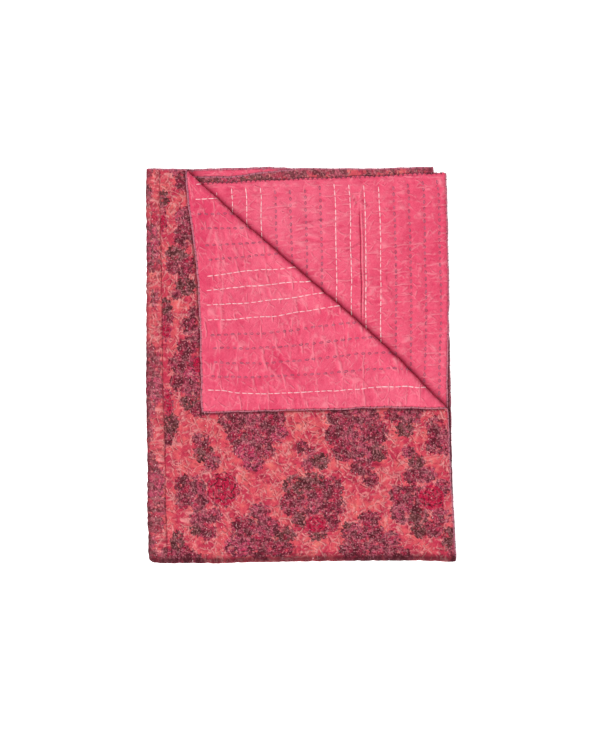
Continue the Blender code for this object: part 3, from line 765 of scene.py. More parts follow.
@dataclass
class Cloth:
    """One cloth as a closed thin shell: a dense outer face, a plainer inner face and their rim."""

    name: str
    folding: Folding
    relief: Relief
    sewing: EdgeSewing
    face: Face
    columns: Array
    lines: Array
    squeeze_from: float = 1.0
    squeeze: float = 2.6
    squeeze_reach: Pair = (0.003, 0.021)
    edge_columns: int = 0
    inner_step: int = 3
    inner_edge: int = 6
    hem_line: Pair = (0.0024, 0.0006)
    row_glow: float = 0.0036
    top_band_mm: float = 10.0

    def crease_across(self) -> Array:
        """For each line, the place across where the crease crosses it, or beyond the edge if none does."""
        tried = np.linspace(0.0, self.folding.width, 600)
        past = self.folding.past_crease(tried[None, :], np.maximum(self.lines, 1e-4)[:, None])
        found = tried[np.argmax(past > 0, axis=1)]
        return np.where((past[:, -1] > 0) & (self.lines > 0), found, self.folding.width + 0.05)

    def grid(self) -> Tuple[Array, Array]:
        """Places (a, b) of the grid, with the columns drawn together where the corner's bend crosses a line.

        Between squeeze_from and the hem a column at the share p of the stretch is moved to
        t0 + s - (1 - 1/k) * clip(s - (near - t0), 0, k * (far - near)), where s is
        p * ((t1 - t0) + (k - 1) * (far - near)).
        """
        a = np.repeat(self.columns[None, :], len(self.lines), axis=0)
        b = np.repeat(self.lines[:, None], len(self.columns), axis=1)
        moved = (self.columns >= self.squeeze_from) & (self.columns <= self.columns[-1 - self.edge_columns])
        if moved.sum() > 2:
            t0, t1 = self.columns[moved][0], self.columns[moved][-1]
            middle = self.crease_across()[:, None]
            near = np.clip(middle - self.squeeze_reach[0], t0, t1)
            far = np.clip(middle + self.squeeze_reach[1], t0, t1)
            share = (self.columns[moved][None, :] - t0) / (t1 - t0)
            run = share * ((t1 - t0) + (self.squeeze - 1.0) * (far - near))
            back = np.clip(run - (near - t0), 0.0, self.squeeze * (far - near))
            a[:, moved] = t0 + run - (1.0 - 1.0 / self.squeeze) * back
        return a, b

    def hem_share(self, a: Array, b: Array) -> Array:
        """1 on the turned edge, 0 inside it."""
        return smooth_step((self.hem_line[0] - self.folding.inside(a, b)) / self.hem_line[1])

    def heights(self, a: Array, b: Array) -> Tuple[Array, Array]:
        """Heights w of the outer and the inner face; each kind of cloth has its own."""
        raise NotImplementedError

    def patterns(self, a: Array, b: Array, outer: Array) -> Dict[str, Array]:
        """Values kept on the points for the finish.

        Args:
            a: places across the quilt.
            b: places along it.
            outer: heights of the outer face.

        Returns:
            The hem, how far the face is raised, the rows, and the distance from the second layer's top edge.
        """
        from_top = np.clip(1000 * (self.folding.height - b), 0.0, self.top_band_mm)
        return {
            "hem_share": self.hem_share(a, b),
            "raised": self.relief.raised(a, b, np.abs(outer)),
            "row_share": bell(self.relief.rows.to_row(a, b) / self.row_glow),
            "from_top": np.where((a < 0) & (b > 0), from_top, self.top_band_mm),
        }

    def picks(self, count: int) -> Array:
        """Numbers of the lines or columns that the inner face keeps, with both ends."""
        kept = set(range(0, count, self.inner_step)) | {count - 1}
        kept |= set(range(min(self.inner_edge, count))) | set(range(max(count - self.inner_edge, 0), count))
        return np.array(sorted(kept))

    def build(self, material: bpy.types.Material) -> bpy.types.Object:
        """Builds the shell.

        Args:
            material: the finish of the cloth.

        Returns:
            The object.
        """
        a, b = self.grid()
        outer, inner = self.heights(a, b)
        rows, cols = a.shape
        keep_rows, keep_cols = self.picks(rows), self.picks(cols)
        part = np.ix_(keep_rows, keep_cols)
        drawn_a, drawn_b = self.sewing.drawn_in(a, b)
        top = self.folding.place(drawn_a, drawn_b, outer).reshape(-1, 3)
        low = self.folding.place(drawn_a[part], drawn_b[part], inner[part]).reshape(-1, 3)
        top_ids = np.arange(rows * cols).reshape(rows, cols)
        low_ids = rows * cols + np.arange(len(keep_rows) * len(keep_cols)).reshape(len(keep_rows), -1)
        outer_up = self.face is Face.PRINT
        quads = np.concatenate([self.quads_of(top_ids, outer_up), self.quads_of(low_ids, not outer_up)])
        tris, rim_uv = self.rim(top_ids, low_ids, keep_rows, keep_cols, outer_up)
        share_a = 0.5 * np.arange(cols) / (cols - 1) + 0.5 * (a - a[:, :1]) / (a[:, -1:] - a[:, :1])
        share_b = 0.5 * np.arange(rows)[:, None] / (rows - 1) + 0.5 * (b - b[:1]) / (b[-1:] - b[:1])
        bake_b = BAKE_ALONG[0] + BAKE_ALONG[1] * share_b
        bake = np.stack([BAKE_DENSE[0] + BAKE_DENSE[1] * share_a, bake_b], axis=-1)
        bake_low = np.stack([BAKE_PLAIN[0] + BAKE_PLAIN[1] * share_a, bake_b], axis=-1)[part]
        bake_points = np.concatenate([bake.reshape(-1, 2), bake_low.reshape(-1, 2)])
        flat = np.stack([a, b], axis=-1)
        flat_points = np.concatenate([flat.reshape(-1, 2), flat[part].reshape(-1, 2)])
        kept = self.patterns(a, b, outer)
        piece = Piece(
            self.name,
            np.concatenate([top, low]),
            quads,
            tris,
            {
                "OFBake": np.concatenate([bake_points[quads.ravel()], rim_uv.reshape(-1, 2)]),
                "flat_cloth": np.concatenate([flat_points[quads.ravel()], flat_points[tris.ravel()]]),
            },
            {name: np.concatenate([value.ravel(), value[part].ravel()]) for name, value in kept.items()},
        )
        made = piece.build(material)
        log.info("%s: %d points, %d triangles", self.name, len(piece.points), 2 * len(quads) + len(tris))
        return made

    @staticmethod
    def quads_of(ids: Array, up: bool) -> Array:
        """Faces of a grid of point numbers, turned to face up or down."""
        quads = np.stack([ids[:-1, :-1], ids[:-1, 1:], ids[1:, 1:], ids[1:, :-1]], axis=-1).reshape(-1, 4)
        return quads if up else quads[:, ::-1]

    @staticmethod
    def rim(
        top: Array, low: Array, keep_rows: Array, keep_cols: Array, outer_up: bool
    ) -> Tuple[Array, Array]:
        """The rim between the two faces: each plain point fans to the dense points up to the next.

        Args:
            top: point numbers of the dense face.
            low: point numbers of the plain face.
            keep_rows: dense row of each plain row.
            keep_cols: dense column of each plain column.
            outer_up: true where the dense face is the upper one.

        Returns:
            The triangles, and the places of their corners on the bake map.
        """
        rows, cols = top.shape
        dense = np.concatenate([top[0, :-1], top[:-1, -1], top[-1, :0:-1], top[:0:-1, 0]])
        plain = np.concatenate([low[0, :-1], low[:-1, -1], low[-1, :0:-1], low[:0:-1, 0]])
        right, upper, left = cols - 1, cols + rows - 2, 2 * cols + rows - 3
        spots = np.concatenate(
            [
                keep_cols[:-1],
                right + keep_rows[:-1],
                upper + (cols - 1 - keep_cols[:0:-1]),
                left + (rows - 1 - keep_rows[:0:-1]),
            ]
        )
        count = len(dense)
        step = np.arange(count)
        owner = np.searchsorted(spots, step, side="right") - 1
        fans = np.stack([plain[owner], dense[(step + 1) % count], dense[step]], axis=1)
        fan_y = np.stack([spots[owner], step + 1, step], axis=1) / count
        after = np.append(spots[1:], count)
        number = np.arange(len(plain))
        links = np.stack([plain, plain[(number + 1) % len(plain)], dense[after % count]], axis=1)
        link_y = np.stack([spots, after, after], axis=1) / count
        tris = np.concatenate([fans, links])
        outer_x, inner_x = BAKE_RIM
        fan_x = np.tile([inner_x, outer_x, outer_x], (count, 1))
        link_x = np.tile([inner_x, inner_x, outer_x], (len(plain), 1))
        across = np.concatenate([fan_x, link_x])
        along = BAKE_ALONG[0] + BAKE_ALONG[1] * np.concatenate([fan_y, link_y])
        places = np.stack([across, along], axis=-1)
        return (tris, places) if outer_up else (tris[:, ::-1], places[:, ::-1])


# Tones of the flower heads, leaves and buds of the print
PLUM, DUSTY, LEAF, MAUVE, CRIMSON = 0.10, 0.35, 0.60, 0.80, 1.00

# Flowers of the top layer's print as ovals, loosely where the photograph shows its bouquets:
# middle across and along from the packet's folds, half width and half length (millimetres), tone
TOP_LAYER_FLOWERS = (
    (128, 218, 19, 17, PLUM), (158, 222, 20, 15, DUSTY), (190, 216, 19, 16, PLUM),
    (140, 194, 20, 17, PLUM), (172, 196, 20, 18, DUSTY), (196, 196, 15, 13, MAUVE),
    (150, 172, 19, 14, MAUVE), (176, 172, 17, 13, PLUM), (160, 152, 15, 12, MAUVE),
    (86, 165, 15, 14, LEAF), (98, 152, 12, 11, DUSTY), (78, 186, 8, 9, DUSTY),
    (88, 180, 6, 12, PLUM), (56, 118, 15, 15, PLUM), (72, 112, 16, 18, DUSTY),
    (54, 96, 13, 13, PLUM), (76, 92, 15, 12, DUSTY), (114, 111, 24, 25, CRIMSON),
    (80, 66, 16, 16, DUSTY), (98, 72, 12, 10, DUSTY), (74, 50, 10, 9, LEAF),
    (90, 46, 13, 11, PLUM), (42, 30, 11, 17, LEAF), (52, 18, 9, 9, PLUM),
    (36, 208, 11, 17, LEAF), (30, 186, 7, 10, PLUM), (168, 78, 15, 12, DUSTY),
    (146, 52, 20, 18, PLUM), (176, 54, 22, 17, DUSTY), (204, 42, 16, 12, LEAF),
    (138, 26, 22, 17, MAUVE), (170, 22, 24, 18, PLUM), (200, 20, 16, 12, PLUM),
    (232, 176, 9, 10, PLUM), (246, 168, 7, 7, DUSTY), (260, 154, 14, 12, LEAF),
    (242, 150, 9, 9, DUSTY), (222, 116, 17, 17, LEAF), (250, 122, 18, 15, LEAF),
    (276, 114, 17, 16, PLUM), (218, 90, 18, 18, PLUM), (246, 92, 20, 18, DUSTY),
    (276, 88, 18, 19, PLUM), (230, 66, 14, 12, LEAF), (252, 60, 17, 14, CRIMSON),
    (270, 62, 15, 15, PLUM), (252, 42, 12, 9, LEAF), (292, 218, 20, 15, PLUM),
    (326, 220, 22, 15, DUSTY), (286, 194, 17, 17, PLUM), (314, 194, 20, 18, DUSTY),
    (344, 196, 18, 19, PLUM), (296, 168, 18, 14, PLUM), (324, 164, 20, 17, DUSTY),
    (346, 166, 14, 14, LEAF), (322, 142, 16, 12, PLUM), (334, 126, 12, 11, PLUM),
    (374, 222, 15, 11, PLUM), (396, 220, 17, 13, DUSTY), (388, 200, 13, 11, LEAF),
    (408, 232, 12, 8, PLUM), (434, 200, 13, 17, PLUM), (446, 180, 13, 18, DUSTY),
    (430, 176, 11, 13, PLUM), (392, 166, 9, 9, DUSTY), (404, 150, 11, 12, LEAF),
    (418, 132, 14, 12, DUSTY), (396, 130, 12, 11, PLUM), (376, 102, 14, 15, PLUM),
    (398, 98, 18, 18, PLUM), (378, 76, 15, 17, DUSTY), (400, 70, 17, 14, LEAF),
    (424, 98, 19, 19, CRIMSON), (440, 112, 12, 12, DUSTY), (404, 48, 13, 12, LEAF),
    (424, 50, 14, 13, PLUM), (436, 70, 13, 12, DUSTY), (330, 66, 15, 12, PLUM),
    (306, 44, 17, 15, DUSTY), (334, 42, 19, 16, PLUM), (358, 34, 15, 13, DUSTY),
    (302, 18, 18, 14, PLUM), (334, 14, 22, 15, DUSTY), (362, 12, 14, 11, PLUM),
    (446, 34, 10, 17, LEAF), (456, 16, 12, 16, PLUM), (62, 574, 12, 15, PLUM),
    (50, 590, 8, 8, DUSTY), (30, 546, 9, 13, LEAF), (64, 520, 15, 15, DUSTY),
    (62, 492, 16, 17, PLUM), (50, 462, 17, 15, LEAF), (62, 446, 17, 15, PLUM),
    (42, 446, 9, 11, PLUM), (62, 416, 16, 13, LEAF), (48, 404, 8, 8, PLUM),
    (28, 384, 12, 14, LEAF), (34, 368, 8, 10, PLUM), (74, 376, 9, 9, PLUM),
    (66, 356, 12, 12, PLUM), (78, 342, 12, 14, DUSTY), (64, 326, 15, 13, PLUM),
    (54, 300, 19, 16, PLUM), (70, 286, 17, 15, MAUVE), (52, 272, 15, 14, PLUM),
    (68, 262, 14, 12, DUSTY), (66, 242, 14, 12, LEAF), (80, 232, 14, 12, PLUM),
    (27, 515, 8, 16, CRIMSON), (30, 350, 8, 14, CRIMSON), (80, 298, 9, 12, CRIMSON),
    (32, 240, 7, 20, CRIMSON), (100, 590, 16, 12, PLUM),
)

# Flowers of the narrow strip between the side fold and the seam
STRIP_FLOWERS = (
    (8, 480, 14, 30, MAUVE), (10, 452, 12, 14, PLUM), (4, 556, 7, 12, DUSTY),
    (8, 300, 15, 26, PLUM), (12, 262, 13, 22, MAUVE), (5, 236, 9, 16, DUSTY),
    (15, 520, 6, 12, CRIMSON), (10, 122, 14, 26, MAUVE), (14, 86, 13, 16, PLUM),
    (4, 150, 8, 16, PLUM), (8, 60, 13, 14, PLUM),
    (3, 200, 6, 14, DUSTY), (14, 398, 6, 12, PLUM), (4, 588, 8, 8, PLUM),
    (-88, -584, 26, 14, PLUM), (-128, -586, 28, 14, MAUVE), (-168, -584, 24, 14, LEAF),
    (-206, -588, 22, 14, PLUM), (-240, -590, 18, 14, DUSTY), (-276, -592, 15, 12, PLUM),
    (-304, -590, 16, 12, DUSTY), (-352, -590, 14, 14, PLUM), (-384, -594, 16, 12, PLUM),
    (-428, -590, 14, 14, DUSTY), (-450, -586, 12, 12, PLUM), (-458, -320, 16, 34, PLUM),
    (-458, -258, 16, 34, DUSTY), (-458, -210, 16, 30, PLUM), (-458, -150, 16, 34, DUSTY),
    (-458, -90, 16, 34, PLUM), (-456, -410, 12, 22, DUSTY), (-456, -500, 12, 30, PLUM),
)

# One bouquet about its own middle, repeated over the cloth that lies out of the photograph's sight
BOUQUET = (
    (-28, 24, 19, 17, PLUM), (2, 28, 20, 15, DUSTY), (32, 22, 19, 16, PLUM),
    (-18, 0, 20, 17, LEAF), (14, 0, 20, 18, DUSTY), (36, -2, 15, 14, PLUM),
    (-10, -24, 18, 14, MAUVE), (16, -24, 16, 14, CRIMSON), (4, -44, 14, 12, MAUVE),
    (-30, 52, 10, 11, DUSTY), (-40, 70, 8, 10, LEAF), (-46, -12, 9, 12, LEAF),
)


@dataclass(frozen=True)
class Bouquets:
    """Where the flowers of the print lie on the cloth, in millimetres."""

    repeat: Pair = (150.0, 185.0)
    uneven: Pair = (14.0, 10.0)
    first: Pair = (30.0, -20.0)
    reach: Pair = (500.0, 640.0)
    shown_right_of: Pair = (-12.0, -14.0)
    shown_above: float = -12.0
    strip_foot: float = -520.0

    def listed(self, panel: Panel) -> Array:
        """The flowers of a panel: those in sight, and the bouquet repeated over the rest of the cloth.

        Args:
            panel: which panel.

        Returns:
            Rows of a, b, half width, half length (metres) and tone.
        """
        main = panel is Panel.MAIN
        rows = list(TOP_LAYER_FLOWERS if main else STRIP_FLOWERS)
        right_of = self.shown_right_of[0 if main else 1]
        for i in range(-4, 5):
            for j in range(-7, 5):
                x = self.repeat[0] * (i + 0.5 * (j % 2)) + self.uneven[0] * math.sin(12.9 * i + 4.1 * j)
                y = self.repeat[1] * 0.5 * j + self.uneven[1] * math.sin(7.7 * i + 9.2 * j)
                x, y = x + self.first[0], y + self.first[1]
                shown = (y > self.shown_above and x > right_of) or (y < self.strip_foot and not main)
                if abs(x) < self.reach[0] and abs(y) < self.reach[1] and not shown:
                    rows += [(x + off_x, y + off_y, *kept) for off_x, off_y, *kept in BOUQUET]
        found = np.array(rows)
        found[:, :4] /= 1000
        return found

    def values(self, a: Array, b: Array, panel: Panel) -> Dict[str, Array]:
        """Distances and tones of the nearest flower.

        The distance to an oval is (|offset / half sizes| - 1) * the smaller half size; the least one counts.

        Args:
            a: places across the cloth.
            b: places along it.
            panel: which panel's flowers.

        Returns:
            Distance to the nearest flower and to the nearest crimson one in millimetres, the nearest flower's
            tone, and the offset from its middle as shares of its half sizes.
        """
        nearest = np.full(a.shape, 1.0)
        crimson = np.full(a.shape, 1.0)
        tone = np.zeros(a.shape)
        aim_a, aim_b = np.ones(a.shape), np.zeros(a.shape)
        for x, y, across, along, shade in self.listed(panel):
            off_a, off_b = (a - x) / across, (b - y) / along
            off = np.hypot(off_a, off_b)
            reach = (off - 1.0) * min(across, along)
            if shade == CRIMSON:
                crimson = np.minimum(crimson, reach)
            closer = reach < nearest
            nearest = np.where(closer, reach, nearest)
            tone = np.where(closer, shade, tone)
            aim_a, aim_b = np.where(closer, off_a, aim_a), np.where(closer, off_b, aim_b)
        return {
            "flower_reach": np.clip(1000 * nearest, -25, 25),
            "crimson_reach": np.clip(1000 * crimson, -25, 25),
            "flower_tone": tone,
            "flower_a": np.clip(aim_a, -2.0, 2.0),
            "flower_b": np.clip(aim_b, -2.0, 2.0),
        }


@dataclass
class PrintPanel(Cloth):
    """A printed panel with its turned hem, which closes the quilt all round."""

    panel: Panel = Panel.MAIN
    hem: float = 0.0020
    hem_height: float = 0.00105

    def heights(self, a: Array, b: Array) -> Tuple[Array, Array]:
        """Outer face from the relief, rounded over the hem; inner face flat beside the backing."""
        outer = self.relief.face(a, b, Face.PRINT)
        inside = self.folding.inside(a, b)
        rounded = np.sqrt(np.clip(1.0 - (1.0 - np.minimum(inside / 0.0011, 1.0)) ** 2, 0.0, 1.0))
        edge = 0.0002 + (self.hem_height - 0.0002) * rounded
        blend = smooth_step((inside - self.hem) / 0.004)
        outer = np.where(inside < self.hem + 1e-6, edge, edge * (1 - blend) + outer * blend)
        inner = np.where(inside < self.hem + 1e-6, -edge, self.folding.cloth_gap / 2)
        return outer, inner

    def patterns(self, a: Array, b: Array, outer: Array) -> Dict[str, Array]:
        """The hem, the flowers, how far the rows of stitches lie for the underside's dots, the seam, painted
        shade, and a painted contact shadow.
        """
        kept = super().patterns(a, b, outer)
        kept.update(Bouquets().values(a, b, self.panel))
        under = (a > 0.004) & (b < -0.008) & (np.abs(b) < 0.580)
        kept["underside_row"] = np.where(under, 1000 * np.minimum(self.relief.rows.to_row(a, b), 0.02), 20.0)
        kept["seam_share"] = bell(np.abs(a - self.folding.seam) / 0.0012) * (a > 0)
        # Painted shade: darker along the side and bottom folds, on the third layer's strip by its open side,
        # and along the bottoms of deep creases.
        side = bell((np.abs(a) - 0.0008) / 0.0026) * (0.95 + 0.4 * Noise(75).at(b / 0.0075, b * 0.0))
        bottom = bell((np.abs(b) - 0.0042) / 0.0052) * (1.0 + 0.3 * Noise(76).at(a / 0.012, a * 0.0))
        strip = 0.55 * smooth_step((np.abs(a) - self.folding.width + 0.012) / 0.004) * ((a < 0) & (b < 0))
        dark = np.maximum(np.maximum(side, bottom), strip)
        kept["painted_shade_share"] = np.clip(np.maximum(dark, self.relief.deep_lines(a, b, Face.PRINT)), 0.0, 1.0)
        # Painted contact shadow on the print beside the turned corner's hem.
        kept["flap_shadow_share"] = self.relief.flap_shadow_line(a, b) * (a > 0) * (b > 0)
        return kept


# Paler and deeper places of the pink cloth, from the packet's folds: across, along, reach, amount
PINK_TONES = (
    (0.170, 0.530, 0.060, 0.32), (0.260, 0.520, 0.070, 0.34), (0.150, 0.400, 0.060, 0.22),
    (0.200, 0.390, 0.060, 0.20), (0.300, 0.420, 0.060, 0.12), (0.400, 0.250, 0.050, 0.30),
    (0.300, 0.245, 0.060, 0.20), (0.086, 0.530, 0.024, -0.80), (0.084, 0.480, 0.022, -0.60),
    (0.085, 0.420, 0.018, -0.40), (0.435, 0.520, 0.040, -0.25), (0.440, 0.420, 0.040, -0.22),
    (0.110, 0.320, 0.035, -0.20), (0.200, 0.290, 0.040, -0.18), (0.380, 0.480, 0.040, -0.15),
)


@dataclass
class BackingCloth(Cloth):
    """The plain pink cloth, which ends inside the hem."""

    edge: float = 0.0026
    edge_height: float = 0.00090

    def heights(self, a: Array, b: Array) -> Tuple[Array, Array]:
        """Outer face from the relief, drawn down to the hem; inner face flat beside the print."""
        outer = self.relief.face(a, b, Face.BACK)
        blend = smooth_step((self.folding.inside(a, b) - self.edge) / 0.004)
        outer = self.edge_height * (1 - blend) + outer * blend
        return -outer, np.full(a.shape, -self.folding.cloth_gap / 2)

    def patterns(self, a: Array, b: Array, outer: Array) -> Dict[str, Array]:
        """Adds painted shade along deep creases, paler and deeper places, and the painted shadow of the
        corner's roll along its fold.
        """
        kept = super().patterns(a, b, outer)
        # Painted shade along the bottoms of deep creases.
        kept["painted_shade_share"] = self.relief.deep_lines(a, b, Face.BACK)
        place = self.folding.place(a, b, outer)
        from_side, from_bottom = [place[..., i] + self.folding.packet_middle[i] for i in (0, 1)]
        kept["tone"] = np.zeros(a.shape)
        for x, y, reach, amount in PINK_TONES:
            kept["tone"] += amount * bell(np.hypot(from_side - x, from_bottom - y) / reach)
        # Painted shadow of the corner's roll: a band on the roll's far side, and a longer fading one on the
        # second layer beyond it.
        past = self.folding.past_crease(a, b)
        turned = 0.45 * smooth_step((past - 0.003) / 0.004) * smooth_step((0.012 - past) / 0.004)
        second = bell(np.maximum(past - 0.003, 0.0) / 0.0080)
        kept["roll_shadow_share"] = np.where(a > 0, turned, second) * (b > 0)
        return kept


class Threads:
    """Tubes of sewing thread as one joined mesh."""

    @staticmethod
    def tubes(rings: Array, flip: bool) -> Tuple[Array, Array, Array]:
        """Skins of many tubes at once.

        Args:
            rings: places, with axes for the tube, the ring along it, the point round it, and x, y and z.
            flip: whether their faces are turned over.

        Returns:
            Points, side faces and end faces.
        """
        count, length, round_ = rings.shape[:3]
        ids = np.arange(count * length * round_).reshape(count, length, round_)
        ahead = np.roll(ids, -1, axis=2)
        quads = np.stack([ids[:, :-1], ids[:, 1:], ahead[:, 1:], ahead[:, :-1]], axis=-1)
        quads = quads.reshape(count, -1, 4)
        fan = np.arange(1, round_ - 1)
        start = np.stack([ids[:, 0, :1].repeat(len(fan), 1), ids[:, 0, fan], ids[:, 0, fan + 1]], axis=-1)
        end = np.stack([ids[:, -1, :1].repeat(len(fan), 1), ids[:, -1, fan + 1], ids[:, -1, fan]], axis=-1)
        tris = np.concatenate([start, end], axis=1)
        if flip:
            quads, tris = quads[:, :, ::-1], tris[:, :, ::-1]
        return rings.reshape(-1, 3), quads.reshape(-1, 4), tris.reshape(-1, 3)

    @staticmethod
    def joined(name: str, skins: Sequence[Tuple[Array, Array, Array]]) -> Piece:
        """One piece of several skins, whose point numbers are moved on by the points before them.

        Args:
            name: the piece's name.
            skins: points, side faces and end faces of each skin.

        Returns:
            The piece.
        """
        shifts = np.cumsum([0] + [len(skin[0]) for skin in skins])
        points = np.concatenate([skin[0] for skin in skins])
        quads, tris = [
            np.concatenate([skin[part] + shift for skin, shift in zip(skins, shifts)]) for part in (1, 2)
        ]
        log.info("%s: %d triangles", name, 2 * len(quads) + len(tris))
        return Piece(name, points, quads, tris)


@dataclass(frozen=True)
class RunningStitches:
    """The running stitches that hold print and backing together, where they lie open to view."""

    folding: Folding
    rows: StitchRows
    relief: Relief
    pitch: float = 0.0097
    top_end: float = 0.580
    long: Tuple[float, float, float] = (0.0084, 0.0016, 0.0011)
    oval: Tuple[float, float, float] = (0.0060, 0.0010, 0.0009)
    dot: Tuple[float, float, float] = (0.0020, 0.0008, 0.0008)
    loop: float = 0.0012
    dots_kept: float = 0.55
    along_steps: int = 5
    round_steps: int = 6

    def centres(self, face: Face, yarn: Yarn) -> Tuple[Array, Array, Array]:
        """Row number, panel (1 main, 0 side, 2 strip) and place along of each stitch open to view."""
        found = []
        for main in (True, False):
            for number in range(self.rows.count[0] if main else self.rows.count[1]):
                if self.rows.yarn(number, main) is not yarn:
                    continue
                shift = 0.37 * math.sin(5.3 * number + (1.0 if main else 2.0))
                shift = shift + (0.0 if face is Face.BACK else 0.5)
                b = np.arange(shift * self.pitch - self.top_end, self.top_end, self.pitch)
                b = b + 0.0009 * Noise(51).at(b / 0.0089, number + 0.5)
                a = self.rows.across(np.full(b.shape, float(number)), b, main)
                b = b[self.relief.shown(a, b, face) > 0.5]
                found.append((np.full(len(b), float(number)), np.full(len(b), 1 if main else 0), b))
        if face is Face.PRINT and yarn is Yarn.WHITE:
            b = np.arange(0.012, self.top_end, self.pitch)
            found.append((np.zeros(len(b)), np.full(len(b), 2), b))
        numbers, panels, places = [np.concatenate(part) for part in zip(*found)]
        return numbers, panels, places

    def axis(self, number: Array, panel: Array, b: Array) -> Array:
        """Place across of a stitch's axis."""
        main = self.rows.across(number, b, True)
        side = self.rows.across(number, b, False)
        strip = self.rows.strip + 0.0008 * Noise(52).at(b / 0.03, b * 0)
        return np.where(panel == 1, main, np.where(panel == 0, side, strip))

    def shapes(self, face: Face, yarn: Yarn, bow: float = 0.0) -> Array:
        """Rings of every stitch.

        A ring lies across the row at b = centre + half length * t, on the axis of the row. Its half width and
        height are the stitch's own times (1 - 0.4 t^8), and its middle dives into the cloth at both ends.

        Args:
            face: the face that the stitches show on.
            yarn: their thread.
            bow: how far a strand of doubled thread bows out from the row, as bow * (1 - t^2).

        Returns:
            Places with axes for the stitch, the ring, the point round it and x, y and z.
        """
        number, panel, centre = self.centres(face, yarn)
        if face is Face.PRINT:
            kept = Noise(58).at(centre / 0.0057, number * 1.7 + 0.4) < 2.0 * self.dots_kept - 1.0
            number, panel, centre = number[kept], panel[kept], centre[kept]
        size = np.array(self.dot if face is Face.PRINT else self.long if yarn is Yarn.WHITE else self.oval)
        uneven = 1.0 + 0.22 * Noise(53).at(centre / 0.0061, number * 1.31 + 0.3)
        t = np.linspace(-1.0, 1.0, self.along_steps)[None, :, None]
        turn = np.linspace(0.0, 2 * math.pi, self.round_steps, endpoint=False)[None, None, :]
        b = centre[:, None, None] + size[0] / 2 * uneven[:, None, None] * t
        a = self.axis(number[:, None, None], panel[:, None, None], b)
        a = a + 0.00025 * t * Noise(54).at(centre / 0.005, number)[:, None, None] + bow * (1.0 - t * t)
        full = 1.0 - 0.40 * t**8
        bed = self.relief.face(a, b, face)
        level = bed.mean(axis=1, keepdims=True) * 0.5 + bed * 0.5
        w = level + 0.0001 - 0.0002 * t**6 + size[2] / 2 * full * np.sin(turn)
        a = a + size[1] / 2 * uneven[:, None, None] * full * np.cos(turn)
        b = b + 0.0 * turn
        return self.folding.place(a, b, w * face.value)

    def build(self, yarn: Yarn, material: bpy.types.Material) -> bpy.types.Object:
        """All running stitches of one thread as one mesh."""
        loops = (0.0,) if yarn is Yarn.WHITE else (self.loop, -self.loop)
        skins = [Threads.tubes(self.shapes(Face.PRINT, yarn), False)]
        skins += [Threads.tubes(self.shapes(Face.BACK, yarn, bow), True) for bow in loops]
        return Threads.joined(f"running_stitches_{yarn.value}", skins).build(material)


@dataclass(frozen=True)
class WhipStitches:
    """Grey stitches over the open edges."""

    folding: Folding
    sewing: EdgeSewing
    middle: float = 0.0015
    reach: float = 0.0019
    height: float = 0.00128
    thread: float = 0.00042
    slant: float = 0.0016
    along_steps: int = 8
    round_steps: int = 5

    def edge(self, across: bool, sign: float) -> Tuple[Array, bool]:
        """Rings over one edge of the quilt.

        On the plane across the edge the thread follows an oval about a point inside the hem:
        distance inside = middle - reach * cos(angle), height = height * sin(angle), slanted along the edge.

        Args:
            across: true for a top edge, false for a side edge.
            sign: which of the two.

        Returns:
            The rings, and whether their faces are turned over.
        """
        fold = self.folding
        half = fold.width if across else fold.height
        places = []
        for low, high in ((0.0, 1.0), (-1.0, 0.0)):
            close = across and sign > 0 and low < 0
            pitch = self.sewing.close_pitch if close else self.sewing.pitch
            steps = np.arange(math.ceil(low * half / pitch), math.floor(high * half / pitch) + 1) * pitch
            places.append(steps[(np.abs(steps) < half - 0.004) & (np.abs(steps) > 0.001)])
        run = np.concatenate(places)[:, None, None]
        angle = np.linspace(-2.3, 2.3, self.along_steps)[None, :, None]
        turn = np.linspace(0.0, 2 * math.pi, self.round_steps, endpoint=False)[None, None, :]
        slant = self.slant * (1.0 + 0.5 * Noise(57).at(run / 0.009, run * 0 + sign))
        inside = self.middle - self.reach * np.cos(angle) + 0.0003
        height = self.height * np.sin(angle)
        along = run + slant * angle / 4.6 + self.thread * np.cos(turn)
        inside = inside - self.thread * np.sin(turn) * np.cos(angle)
        height = height + self.thread * np.sin(turn) * np.sin(angle)
        along, inside, height = np.broadcast_arrays(along, inside, height)
        if across:
            return fold.place(along, sign * (fold.height - inside), height), sign > 0
        return fold.place(sign * (fold.width - inside), along, height), sign < 0

    def build(self, material: bpy.types.Material) -> bpy.types.Object:
        """All whip stitches as one mesh."""
        skins = [Threads.tubes(*self.edge(across, sign)) for across in (True, False) for sign in (1.0, -1.0)]
        return Threads.joined("whip_stitches", skins).build(material)


Term = Union["Value", float]


